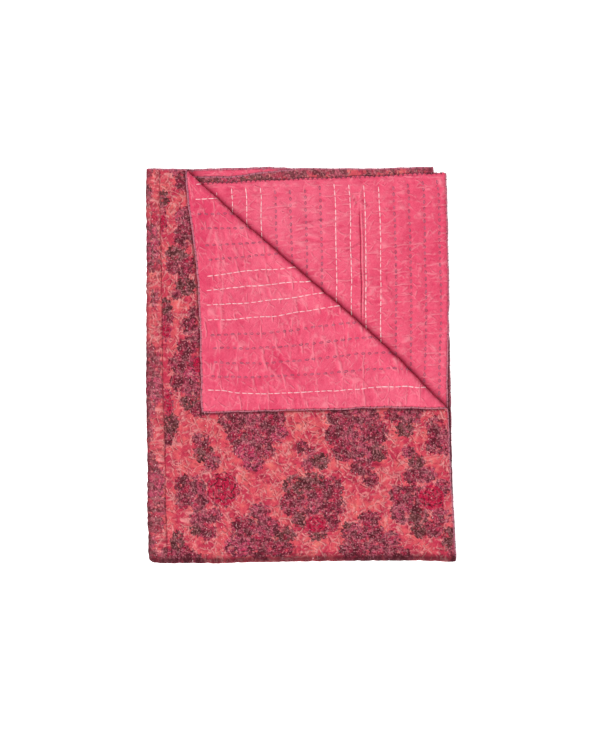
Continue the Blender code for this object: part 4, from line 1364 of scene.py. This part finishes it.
class Value:
    """A number in a shader. Python's operators add Math nodes."""

    def __init__(self, shader: "Shader", socket: bpy.types.NodeSocket) -> None:
        """Wraps a socket of a shader."""
        self.shader = shader
        self.socket = socket

    def operate(self, operation: str, *terms: Term) -> "Value":
        """One Math node on these terms."""
        inputs = dict(enumerate(terms))
        return self.shader.value("ShaderNodeMath", {"operation": operation}, inputs)

    def __add__(self, other: Term) -> "Value":
        """Sum."""
        return self.operate("ADD", self, other)

    __radd__ = __add__

    def __sub__(self, other: Term) -> "Value":
        """Difference."""
        return self.operate("SUBTRACT", self, other)

    def __rsub__(self, other: float) -> "Value":
        """Difference from a number."""
        return self.operate("SUBTRACT", other, self)

    def __mul__(self, other: Term) -> "Value":
        """Product."""
        return self.operate("MULTIPLY", self, other)

    __rmul__ = __mul__

    def __pow__(self, power: float) -> "Value":
        """Power."""
        return self.operate("POWER", self, power)

    def __abs__(self) -> "Value":
        """Size without sign."""
        return self.operate("ABSOLUTE", self)

    def sine(self) -> "Value":
        """Sine."""
        return self.operate("SINE", self)

    def whole(self) -> "Value":
        """The whole number below."""
        return self.operate("FLOOR", self)

    def part(self) -> "Value":
        """What is left above the whole number."""
        return self.operate("FRACT", self)

    def most(self, other: Term) -> "Value":
        """The greater of two."""
        return self.operate("MAXIMUM", self, other)

    def step(self, low: float, high: float) -> "Value":
        """Smooth step from 0 at low to 1 at high, where high may be the smaller."""
        first, last = (0.0, 1.0) if low < high else (1.0, 0.0)
        inputs = {0: self, 1: min(low, high), 2: max(low, high), 3: first, 4: last}
        return self.shader.value("ShaderNodeMapRange", {"interpolation_type": "SMOOTHSTEP"}, inputs)


Input = Union[Value, bpy.types.NodeSocket, float, Sequence[float]]
Settings = Optional[Dict[str, object]]
Inputs = Optional[Dict[object, Input]]


class Shader:
    """A material in the making."""

    def __init__(self, name: str) -> None:
        """Starts a material with one Principled shader."""
        self.material = bpy.data.materials.new(name)
        self.material.use_nodes = True
        self.tree = self.material.node_tree
        self.principled = self.tree.nodes["Principled BSDF"]

    def connect(self, socket: bpy.types.NodeSocket, given: Input) -> None:
        """Gives an input its link or its value."""
        if isinstance(given, Value):
            given = given.socket
        if isinstance(given, bpy.types.NodeSocket):
            self.tree.links.new(given, socket)
        else:
            socket.default_value = given

    def node(self, kind: str, settings: Settings = None, inputs: Inputs = None) -> bpy.types.Node:
        """Adds a node.

        Args:
            kind: its type.
            settings: its own settings, set first.
            inputs: values or links of its sockets, by name or number.

        Returns:
            The node.
        """
        made = self.tree.nodes.new(kind)
        for name, setting in (settings or {}).items():
            setattr(made, name, setting)
        for name, given in (inputs or {}).items():
            self.connect(made.inputs[name], given)
        return made

    def value(
        self, kind: str, settings: Settings = None, inputs: Inputs = None, output: int = 0
    ) -> Value:
        """One output of a new node, as a number."""
        return Value(self, self.node(kind, settings, inputs).outputs[output])

    def kept(self, name: str) -> Value:
        """A value kept on the mesh's points."""
        return self.value("ShaderNodeAttribute", {"attribute_name": name}, output=2)

    def flat(self, turn: float = 0.0, scale: float = 1000.0) -> Input:
        """Places on the flat cloth.

        Args:
            turn: how far they are turned, in radians.
            scale: their unit, as so many to a metre.

        Returns:
            The places.
        """
        place = self.node("ShaderNodeUVMap", {"uv_map": "flat_cloth"}).outputs[0]
        inputs = {"Vector": place, "Scale": (scale, scale, 1.0), "Rotation": (0.0, 0.0, turn)}
        return self.node("ShaderNodeMapping", {"vector_type": "POINT"}, inputs).outputs[0]

    def half_turns(self, length: float, axis: int) -> Value:
        """pi for each such length in metres, counted across the cloth (axis 0) or along it (axis 1)."""
        place = self.flat(scale=math.pi / length)
        return self.value("ShaderNodeSeparateXYZ", {}, {0: place}, axis)

    def noise(
        self, place: Input, size: float, detail: float = 2.0, rough: float = 0.5, bend: float = 0.0
    ) -> Value:
        """Noise from 0 to 1.

        Args:
            place: where.
            size: rough size of its lumps.
            detail: how many finer layers it has.
            rough: how strong these are.
            bend: how far it is distorted.

        Returns:
            The noise.
        """
        inputs = {"Vector": place, "Scale": 1.0 / size, "Detail": detail}
        inputs.update({"Roughness": rough, "Distortion": bend})
        return self.value("ShaderNodeTexNoise", {}, inputs)

    def net(
        self, turn: float, size: float, stretch: float, half_width: float,
        bend: float = 8.0, broken: float = 5.0,
    ) -> Tuple[Value, Value]:
        """A branching net of fine creases: light along the edges of bent cells, and dark just beside them,
        used for the bump, for wear with painted highlight, and for painted shadow.

        Args:
            turn: direction along which the net is drawn out.
            size: rough width of its cells in millimetres.
            stretch: how far it is drawn out, as a share of the other way.
            half_width: of a line, in millimetres.
            bend: how far the lines sway, in millimetres.
            broken: length of line between faint places, in millimetres.

        Returns:
            The light and the dark lines, each from 0 to 1.
        """
        place = self.flat(turn)
        inputs = {"Vector": place, "Scale": 1.0 / 12.0, "Detail": 1.0}
        sway = self.node("ShaderNodeTexNoise", {}, inputs).outputs["Color"]
        settings, inputs = {"operation": "MULTIPLY_ADD"}, {0: sway, 1: (bend, bend, 0.0), 2: place}
        bent = self.node("ShaderNodeVectorMath", settings, inputs).outputs[0]
        patch = self.noise(place, size * 1.5, 1).step(0.42, 0.58)
        patch = patch * self.noise(place, broken, 1.5).step(0.36, 0.60)
        lines = []
        for shift in ((0.0, 0.0, 0.0), (0.9, 1.6, 0.0)):
            inputs = {"Vector": bent, "Location": shift, "Scale": (stretch, 1.0, 1.0)}
            drawn = self.node("ShaderNodeMapping", {"vector_type": "POINT"}, inputs)
            edge = self.cells(drawn.outputs[0], size, "DISTANCE_TO_EDGE")
            lines.append((1.0 - edge * (size / half_width)).most(0.0) * patch)
        return lines[0], lines[1]

    def cells(self, place: Input, size: float, feature: str = "F1") -> Value:
        """Cells of about this size: distance to their middle, or to their edge."""
        settings = {"feature": feature, "voronoi_dimensions": "2D"}
        inputs = {"Vector": place, "Scale": 1.0 / size, "Randomness": 0.9}
        return self.value("ShaderNodeTexVoronoi", settings, inputs)

    def mix(self, share: Input, first: Input, second: Input) -> bpy.types.NodeSocket:
        """Two colours mixed."""
        settings = {"data_type": "RGBA", "blend_type": "MIX", "clamp_factor": True}
        first, second = [(*c, 1.0) if isinstance(c, tuple) and len(c) == 3 else c for c in (first, second)]
        return self.node("ShaderNodeMix", settings, {0: share, 6: first, 7: second}).outputs[2]

    def ramp(self, share: Input, *stops: Tuple[float, Color]) -> bpy.types.NodeSocket:
        """A colour read off a row of stops."""
        made = self.node("ShaderNodeValToRGB")
        elements = made.color_ramp.elements
        while len(elements) < len(stops):
            elements.new(0.5)
        for element, (position, color) in zip(elements, stops):
            element.position = position
            element.color = (*color, 1.0)
        self.connect(made.inputs[0], share)
        return made.outputs[0]

    def bump(self, height: Value, distance: float) -> bpy.types.NodeSocket:
        """A bent normal from a height that is a share of the distance in metres."""
        inputs = {"Height": height, "Distance": distance, "Strength": 1.0}
        return self.node("ShaderNodeBump", {}, inputs).outputs[0]

    def finish(self, **inputs: Input) -> bpy.types.Material:
        """Gives the Principled shader its inputs, spaces written as underscores."""
        for name, given in inputs.items():
            self.connect(self.principled.inputs[name.replace("_", " ")], given)
        return self.material


def linear(red: int, green: int, blue: int) -> Color:
    """A screen colour of 0 to 255 as linear light."""
    shares = [c / 255 for c in (red, green, blue)]
    return tuple(s / 12.92 if s <= 0.04045 else ((s + 0.055) / 1.055) ** 2.4 for s in shares)


@dataclass(frozen=True)
class PrintedCotton:
    """Washed cotton printed with plum bouquets on coral, paler along its ridges from wear and painted
    highlight, with painted shade in its creases and along its folds.
    """

    name: str
    ground_deep: Color = linear(204, 56, 84)
    ground: Color = linear(224, 78, 95)
    ground_light: Color = linear(235, 100, 106)
    # The sunk and furrow colours are painted shade; the worn and frost colours are partly wear and partly
    # painted highlight.
    sunk_shade: Color = linear(156, 24, 58)
    wear_and_highlight: Color = linear(255, 166, 160)
    peach: Color = linear(246, 132, 122)
    furrow_shade: Color = linear(112, 22, 42)
    frost_and_highlight: Color = linear(250, 160, 168)
    plum: Color = linear(162, 50, 75)
    dusty: Color = linear(187, 76, 100)
    leaf: Color = linear(124, 68, 68)
    mauve: Color = linear(204, 70, 106)
    crimson: Color = linear(200, 26, 70)
    petal: Color = linear(240, 162, 168)
    blush: Color = linear(214, 84, 118)
    ink: Color = linear(72, 20, 31)
    hem: Color = linear(204, 122, 142)
    pink: Color = linear(238, 96, 124)
    notch: Color = linear(132, 48, 66)
    seam: Color = linear(96, 22, 34)
    thread: Color = linear(236, 196, 198)
    ink_share: float = 1.0
    fade: float = 0.0
    notch_mm: float = 3.6
    thread_mm: float = 0.55

    def flowers(self, shader: Shader, place: Input, ground: Input) -> bpy.types.NodeSocket:
        """Flower heads in rows of petals over the ground.

        About each flower's middle, row = whole(2.3 * radius), and the petals' tips lie where the part of
        2.3 * radius + 0.5 * |sin(petals * angle)| is 1, with more petals in the outer rows. Curls of ink
        follow the level lines of a noise.

        Args:
            shader: the material.
            place: places on the cloth in millimetres.
            ground: colour between the flowers.

        Returns:
            The colour.
        """
        reach, crimson = shader.kept("flower_reach"), shader.kept("crimson_reach")
        aim_a, aim_b = shader.kept("flower_a"), shader.kept("flower_b")
        sway = shader.noise(place, 8.0, 2) - 0.5
        radius = (aim_a * aim_a + aim_b * aim_b) ** 0.5 + sway * 0.45
        angle = aim_a.operate("ARCTAN2", aim_b, aim_a)
        row = (radius * 2.3).whole()
        lobe = abs((angle * (row + 2.5) + row * 2.3 + sway * 4.0).sine())
        petal = (radius * 2.3 + lobe * 0.5).part()
        edge = shader.noise(place, 3.0, 2, 0.6) * 6.0 + shader.cells(place, 6.5) * 4.0 - lobe * 3.0 - 3.6
        gaps = shader.noise(shader.flat(0.9), 9.0, 1).step(0.64, 0.67)
        inside = (reach + edge).step(0.7, -0.7) * (1.0 - gaps * 0.7)
        tones = (
            (0.0, self.plum), (0.20, self.plum), (0.35, self.dusty), (0.50, self.dusty),
            (0.60, self.leaf), (0.70, self.leaf), (0.80, self.mauve), (1.0, self.mauve),
        )
        fill = shader.ramp(shader.kept("flower_tone"), *tones)
        broad = shader.noise(shader.flat(2.1), 11.0, 2.0)
        other = shader.noise(shader.flat(1.3), 8.0, 1.5)
        fill = shader.mix(other.step(0.55, 0.60) * 0.45, fill, self.blush)
        fill = shader.mix(broad.step(0.56, 0.61) * 0.60, fill, self.crimson)
        red = (crimson + shader.noise(place, 6.0, 2) * 5.0 - 2.0).step(1.0, -1.0)
        fill = shader.mix(red, fill, self.crimson)
        loose = 1.0 - red * 0.85
        shade = broad.step(0.47, 0.42).most(other.step(0.44, 0.39) * 0.8) * loose
        fill = shader.mix(shade * 0.74, fill, self.ink)
        line = petal.step(0.70, 0.84) * petal.step(1.0, 0.94)
        curl = abs((shader.noise(place, 9.0, 1.0, 0.5, 1.0) * 10.0).sine()).step(0.36, 0.18) * loose
        speck = shader.noise(place, 2.6, 1.5, 0.5)
        ink = (line * (0.8 + red * 0.2)).most(curl * 0.55).most(speck.step(0.42, 0.36) * loose * 0.5)
        light = speck.step(0.58, 0.66) * (1.0 - red * 0.7)
        flower = shader.mix(light * 0.50, shader.mix(ink * self.ink_share, fill, self.ink), self.petal)
        return shader.mix(inside, ground, flower)

    def material(self) -> bpy.types.Material:
        """Builds the finish: ground, flowers with petals and ink, wear with painted highlight on the ridges,
        painted shade in the creases and along the folds, hem, and bumps.
        """
        shader = Shader(self.name)
        place = shader.flat()
        cloud, grain = shader.noise(place, 20, 2), shader.noise(place, 4.0, 4, 0.7)
        ground = shader.ramp(
            cloud * 0.75 + grain * 0.25,
            (0.40, self.ground_deep), (0.50, self.ground), (0.60, self.ground_light), (0.70, self.peach),
        )
        raised = shader.kept("raised")
        nets = [
            shader.net(0.4, 15.0, 0.5, 1.5), shader.net(1.3, 13.0, 0.5, 1.5), shader.net(2.3, 9.0, 0.5, 1.3),
        ]
        light = nets[0][0].most(nets[1][0]).most(nets[2][0] * 0.9)
        dark = nets[0][1].most(nets[1][1] * 0.9).most(nets[2][1] * 0.8)
        # Painted shadow in the sunk colour: beside the creases' light lines and in the low places of the
        # relief.
        ground = shader.mix(dark.most(raised.step(0.0, -0.6) * 0.8) * 0.66, ground, self.sunk_shade)
        # Paler along the creases' light lines and on the high places of the relief, in the worn colour: partly
        # wear, partly painted highlight.
        ground = shader.mix(light.most(raised.step(0.35, 1.0) * 0.7) * 0.85, ground, self.wear_and_highlight)
        colour = self.flowers(shader, place, ground)
        # Painted shade in the furrow colour, and wear with painted highlight in the frost colour, also over
        # the flowers.
        colour = shader.mix((dark * 0.22).most(raised.step(-0.1, -0.6) * 0.30), colour, self.furrow_shade)
        colour = shader.mix((light * 0.32).most(raised.step(0.4, 1.1) * 0.28), colour, self.frost_and_highlight)
        colour = shader.mix(self.fade, colour, self.wear_and_highlight)
        dots = shader.kept("underside_row").step(0.9, 0.4)
        beat = abs(shader.half_turns(RunningStitches.pitch, 1).sine())
        colour = shader.mix(dots * beat.step(0.80, 0.90), colour, self.thread)
        colour = shader.mix(shader.kept("seam_share") * 0.16, colour, self.seam)
        # Painted shade along the folds, the deep creases and the third layer's strip, and a painted contact
        # shadow beside the turned corner's hem, in the ink colour; the hem colour gives way to the painted
        # shade.
        shadow_mask = (shader.kept("painted_shade_share") * 0.8).most(shader.kept("flap_shadow_share") * 0.75)
        colour = shader.mix(shadow_mask, colour, self.ink)
        hem_ink = shader.noise(place, 1.6, 2).step(0.5, 0.75)
        hem = shader.mix(hem_ink * 0.25, self.hem, self.ink)
        colour = shader.mix(shader.kept("hem_share") * (0.9 - shader.kept("painted_shade_share") * 0.8), colour, hem)
        colour = shader.mix(shader.kept("from_top").step(self.notch_mm, 3.0), colour, self.pink)
        colour = shader.mix(self.notches(shader) * 0.75, colour, self.notch)
        height = light * 1.0 - dark * 0.6 + grain * 0.4 + self.weave(shader) * 0.08
        rough = shader.noise(place, 3.0, 2) * 0.10 + 0.82
        return shader.finish(
            Base_Color=colour, Roughness=rough, Normal=shader.bump(height, 0.0014), Specular_IOR_Level=0.15
        )

    @staticmethod
    def notches(shader: Shader) -> Value:
        """1 in the notches that the whip stitches draw in the second layer's top edge, 0 on the tips between.

        In a notch the distance from the edge is below depth * (1 - |sin(pi * across / stitch spacing)|).

        Args:
            shader: the material.

        Returns:
            The share.
        """
        tip = abs(shader.half_turns(EdgeSewing.close_pitch, 0).sine())
        return (shader.kept("from_top") - (1.0 - tip) * PrintedCotton.notch_mm).step(0.4, -0.4)

    @staticmethod
    def weave(shader: Shader) -> Value:
        """Plain weave: product of two sines, with a turn for each thread."""
        place = shader.flat(scale=2 * math.pi * 1000 / PrintedCotton.thread_mm)
        split = shader.node("ShaderNodeSeparateXYZ", {}, {0: place})
        across, along = [Value(shader, split.outputs[i]).sine() for i in (0, 1)]
        return across * along


@dataclass(frozen=True)
class PinkCotton:
    """Plain pink washed cotton, mottled, paler along its ridges from wear and painted highlight, with painted
    shade in its creases.
    """

    name: str = "pink_cotton"
    deep: Color = linear(230, 74, 106)
    body: Color = linear(238, 90, 120)
    light: Color = linear(247, 108, 134)
    pale: Color = linear(250, 132, 156)
    # The worn colour is partly wear and partly painted highlight; the hot pink is also used for painted shade,
    # and the shade colour is painted shade in the deep creases.
    wear_and_highlight: Color = linear(255, 152, 166)
    hot: Color = linear(214, 44, 88)
    shade: Color = linear(120, 12, 44)
    # The dark crimson of the painted shadow beside the corner's roll.
    roll_shadow: Color = linear(196, 26, 78)

    def material(self) -> bpy.types.Material:
        """Builds the finish: mottled pink, wear with painted highlight on the ridges, painted shade in the
        creases and beside the corner's roll, and crinkle and weave in the bump.
        """
        shader = Shader(self.name)
        place = shader.flat()
        cloud, grain = shader.noise(place, 30, 3), shader.noise(place, 3.6, 4, 0.7)
        colour = shader.ramp(
            cloud * 0.3 + grain * 0.7, (0.34, self.deep), (0.50, self.body), (0.66, self.light)
        )
        raised = shader.kept("raised")
        patch = shader.noise(place, 42.0, 1.5).step(0.50, 0.64) * 0.34
        rows = shader.kept("row_share") * grain.step(0.40, 0.58) * 0.34
        colour = shader.mix(patch.most(rows), colour, self.hot)
        tone = shader.kept("tone")
        deeper = (tone * -0.9).most(0.0)
        colour = shader.mix(deeper, shader.mix((tone * 0.6).most(0.0), colour, self.pale), self.hot)
        nets = [
            shader.net(0.03, 16.0, 0.13, 1.7, 4.0, 12.0), shader.net(0.7, 15.0, 0.28, 1.5, 7.0, 8.0),
            shader.net(2.5, 12.0, 0.4, 1.3, 8.0, 6.0),
        ]
        light = nets[0][0].most(nets[1][0] * 0.9).most(nets[2][0] * 0.8)
        dark = nets[0][1].most(nets[1][1] * 0.9).most(nets[2][1] * 0.8)
        # Painted shadow in the hot pink: beside the creases' light lines and in the low places of the relief.
        colour = shader.mix((dark * 0.50).most(raised.step(0.0, -0.5) * 0.50), colour, self.hot)
        # Paler along the creases' light lines and on the high places, in the worn colour: partly wear, partly
        # painted highlight.
        colour = shader.mix((light * 0.62).most(raised.step(0.3, 1.1) * 0.42), colour, self.wear_and_highlight)
        # Painted shadow of the corner's roll, on its far side and on the second layer beside it.
        colour = shader.mix(shader.kept("roll_shadow_share") * 0.72, colour, self.roll_shadow)
        # Painted shade along the bottoms of deep creases, in the shade colour.
        colour = shader.mix(shader.kept("painted_shade_share"), colour, self.shade)
        colour = shader.mix(PrintedCotton.notches(shader) * 0.65, colour, PrintedCotton.notch)
        height = light * 0.8 - dark * 0.4 + grain * 0.35 + PrintedCotton.weave(shader) * 0.08
        rough = shader.noise(place, 3.0, 2) * 0.10 + 0.80
        return shader.finish(
            Base_Color=colour, Roughness=rough, Normal=shader.bump(height, 0.0009), Specular_IOR_Level=0.15
        )


@dataclass(frozen=True)
class SewingThread:
    """Cotton sewing thread, twisted, a little uneven in colour."""

    name: str
    light: Color
    dark: Color

    def material(self) -> bpy.types.Material:
        """Builds the finish: two tones in fine noise, and a twisted bump."""
        shader = Shader(self.name)
        place = shader.node("ShaderNodeTexCoord").outputs["Object"]
        tone = shader.noise(place, 0.004, 2)
        twist = shader.noise(place, 0.0006, 2)
        colour = shader.mix(tone.step(0.35, 0.65), self.dark, self.light)
        colour = shader.mix(twist.step(0.5, 0.7) * 0.35, colour, self.dark)
        return shader.finish(
            Base_Color=colour, Roughness=0.75, Normal=shader.bump(twist, 0.0002), Specular_IOR_Level=0.2
        )


@dataclass(frozen=True)
class StudioWhite:
    """White paper floor, lit so that it stays plain."""

    name: str = "studio_white"

    def material(self) -> bpy.types.Material:
        """Builds the finish: white with a little light of its own."""
        shader = Shader(self.name)
        return shader.finish(
            Base_Color=(0.92, 0.92, 0.92, 1.0), Roughness=0.9,
            Emission_Color=(1.0, 1.0, 1.0, 1.0), Emission_Strength=0.85,
        )


@dataclass(frozen=True)
class Studio:
    """Camera straight above, pale floor, white surroundings and one soft light from the lower left."""

    middle: Pair = (-0.00225, -0.0025)
    camera_height: float = 3.0
    view_height: float = 1.0995
    subject_height: float = 0.0135
    floor_size: float = 12.0
    floor_gap: float = 0.0003
    sky: float = 0.36
    key: float = 3.0
    key_azimuth: float = 205.0
    key_elevation: float = 54.0
    key_softness: float = 52.0

    def build(self) -> None:
        """Adds the camera, the floor, the sky and the light."""
        scene = bpy.context.scene
        view = bpy.data.cameras.new("camera")
        view.lens = view.sensor_width * (self.camera_height - self.subject_height) / self.view_height
        view.clip_end = 50.0
        camera = bpy.data.objects.new("camera", view)
        camera.location = (*self.middle, self.camera_height)
        scene.collection.objects.link(camera)
        scene.camera = camera
        self.floor()
        sky = bpy.data.worlds.new("sky")
        sky.use_nodes = True
        sky.node_tree.nodes["Background"].inputs[0].default_value = (1.0, 1.0, 1.0, 1.0)
        sky.node_tree.nodes["Background"].inputs[1].default_value = self.sky
        scene.world = sky
        lamp = bpy.data.lights.new("key", "SUN")
        lamp.energy = self.key
        lamp.angle = math.radians(self.key_softness)
        light = bpy.data.objects.new("key", lamp)
        tilt, turn = math.radians(90.0 - self.key_elevation), math.radians(self.key_azimuth + 90.0)
        light.rotation_euler = (tilt, 0.0, turn)
        scene.collection.objects.link(light)
        scene.view_settings.view_transform = "Standard"
        log.info("studio: camera, floor, sky and key light")

    def floor(self) -> None:
        """A flat square, a hair below the quilt's underside so that the two don't fight for one place."""
        half, low = self.floor_size / 2, -self.floor_gap
        points = np.array([[-half, -half, low], [half, -half, low], [half, half, low], [-half, half, low]])
        piece = Piece("floor", points, np.array([[0, 1, 2, 3]]), np.zeros((0, 3), int))
        piece.build(StudioWhite().material())


@dataclass
class Quilt:
    """The quilt: its three cloths and its sewing."""

    folding: Folding = field(default_factory=Folding)
    print_spacing: float = 0.0018
    backing_spacing: float = 0.0025
    hem: float = 0.0023
    side_bend: float = 0.0035
    bottom_bend: float = 0.0058

    def __post_init__(self) -> None:
        """Works out what the cloths and the sewing share."""
        self.rows = StitchRows(self.folding)
        self.relief = Relief(self.folding, self.rows)
        self.sewing = EdgeSewing(self.folding)

    def hem_places(self, length: float) -> List[Stretch]:
        """Stretches of the hem up to the open edge, close enough to round it."""
        return [
            (length - self.hem, length - 0.0020, 0.0003),
            (length - 0.0020, length - 0.0011, 0.0005),
            (length - 0.0011, length - 0.0005, 0.0003),
            (length - 0.0005, length, 0.00026),
        ]

    def lines(self, lower: Sequence[Stretch], upper: Sequence[Stretch]) -> Array:
        """Lines across a printed panel, from its lower to its upper edge, with hems and the bottom fold."""
        height = self.folding.height
        hem = spaced(*self.hem_places(height))
        bend = spaced((-self.bottom_bend, self.bottom_bend, 0.00105))
        return in_order(-hem, -spaced(*lower), bend, spaced(*upper), hem)

    def build_print_main(self) -> bpy.types.Object:
        """The large printed panel, fine on the top layer and plain underneath."""
        fold = self.folding
        edge = fold.seam + fold.cloth_gap / 2
        columns = spaced(
            (edge, edge + 0.0022, 0.0011), (edge + 0.0022, fold.width - self.hem, self.print_spacing),
            *self.hem_places(fold.width),
        )
        lines = self.lines(
            [(self.bottom_bend, fold.height - self.hem, 0.0120)],
            [(self.bottom_bend, 0.250, 0.0017), (0.250, fold.height - self.hem, 0.0028)],
        )
        cloth = PrintPanel(
            Panel.MAIN.value, fold, self.relief, self.sewing, Face.PRINT, columns, lines,
            squeeze_from=edge + 0.0022, edge_columns=7, panel=Panel.MAIN,
        )
        return cloth.build(PrintedCotton("printed_cotton_main").material())

    def build_print_side(self) -> bpy.types.Object:
        """The printed panel round the side fold."""
        fold = self.folding
        edge = fold.seam - fold.cloth_gap / 2
        bend = self.side_bend
        columns = in_order(
            -spaced(*self.hem_places(fold.width)),
            -spaced((bend, 0.400, 0.0080), (0.400, fold.width - self.hem, 0.0030)),
            spaced((-bend, bend, 0.0007), (bend, edge - 0.0022, 0.0019), (edge - 0.0022, edge, 0.0011)),
        )
        lines = self.lines(
            [(self.bottom_bend, 0.545, 0.0042), (0.545, fold.height - self.hem, 0.0025)],
            [(self.bottom_bend, fold.height - self.hem, self.print_spacing)],
        )
        cloth = PrintPanel(
            Panel.SIDE.value, fold, self.relief, self.sewing, Face.PRINT, columns, lines, panel=Panel.SIDE
        )
        return cloth.build(PrintedCotton("printed_cotton_side", ink_share=0.6, fade=0.06).material())

    def build_backing(self) -> bpy.types.Object:
        """The pink cloth, fine where the turned corner and the second layer show it."""
        fold, fine = self.folding, self.backing_spacing
        edge, top = fold.width - BackingCloth.edge, fold.height - BackingCloth.edge
        side, low = self.side_bend, self.bottom_bend
        columns = in_order(
            -spaced((side, 0.110, 0.0090), (0.110, 0.3170, fine), (0.3170, 0.3290, 0.0010),
                    (0.3290, edge - 0.003, fine), (edge - 0.003, edge, 0.001)),
            spaced((-side, side, 0.0008), (side, 0.060, 0.0090), (0.060, edge - 0.003, fine),
                   (edge - 0.003, edge, 0.001)),
        )
        lines = in_order(
            -spaced((low, 0.570, 0.0120), (0.570, top, 0.003)),
            spaced((-low, low, 0.00105), (low, 0.215, 0.0120), (0.215, top - 0.003, fine),
                   (top - 0.003, top, 0.001)),
        )
        cloth = BackingCloth(
            "backing_cloth", fold, self.relief, self.sewing, Face.BACK, columns, lines,
            squeeze_from=0.060, edge_columns=3,
        )
        return cloth.build(PinkCotton().material())

    def build(self) -> None:
        """Builds every piece, attaches each to the root body, and hides the imported solids that the three
        cloths replace.
        """
        fold = self.folding
        main, side, backing = self.build_print_main(), self.build_print_side(), self.build_backing()
        white = SewingThread("white_thread", linear(255, 214, 214), linear(240, 176, 186)).material()
        grey = SewingThread("grey_thread", linear(186, 112, 134), linear(140, 76, 98)).material()
        stitches = RunningStitches(fold, self.rows, self.relief)
        white_stitches = stitches.build(Yarn.WHITE, white)
        grey_stitches = stitches.build(Yarn.GREY, grey)
        edge_thread = SewingThread("edge_thread", linear(168, 100, 118), linear(104, 48, 66)).material()
        whips = WhipStitches(fold, self.sewing).build(edge_thread)
        flat_width, flat_height = 2 * fold.width, 2 * fold.height
        for piece, slot in ((main, Panel.MAIN.value), (side, Panel.SIDE.value), (backing, "backing_cloth")):
            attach(piece, "root")
            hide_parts(slot)
        for piece, slot in (
            (white_stitches, "backing_cloth"), (grey_stitches, "backing_cloth"), (whips, Panel.MAIN.value),
        ):
            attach(piece, "root")
        fold.width - fold.seam
        fold.width + fold.seam


def write_size() -> None:
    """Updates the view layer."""
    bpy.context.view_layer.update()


def main() -> None:
    """Builds the quilt and its studio."""
    logging.basicConfig(level=logging.INFO, format="%(message)s")
    Quilt().build()
    Studio().build()
    write_size()


if __name__ == "__main__":
    main()
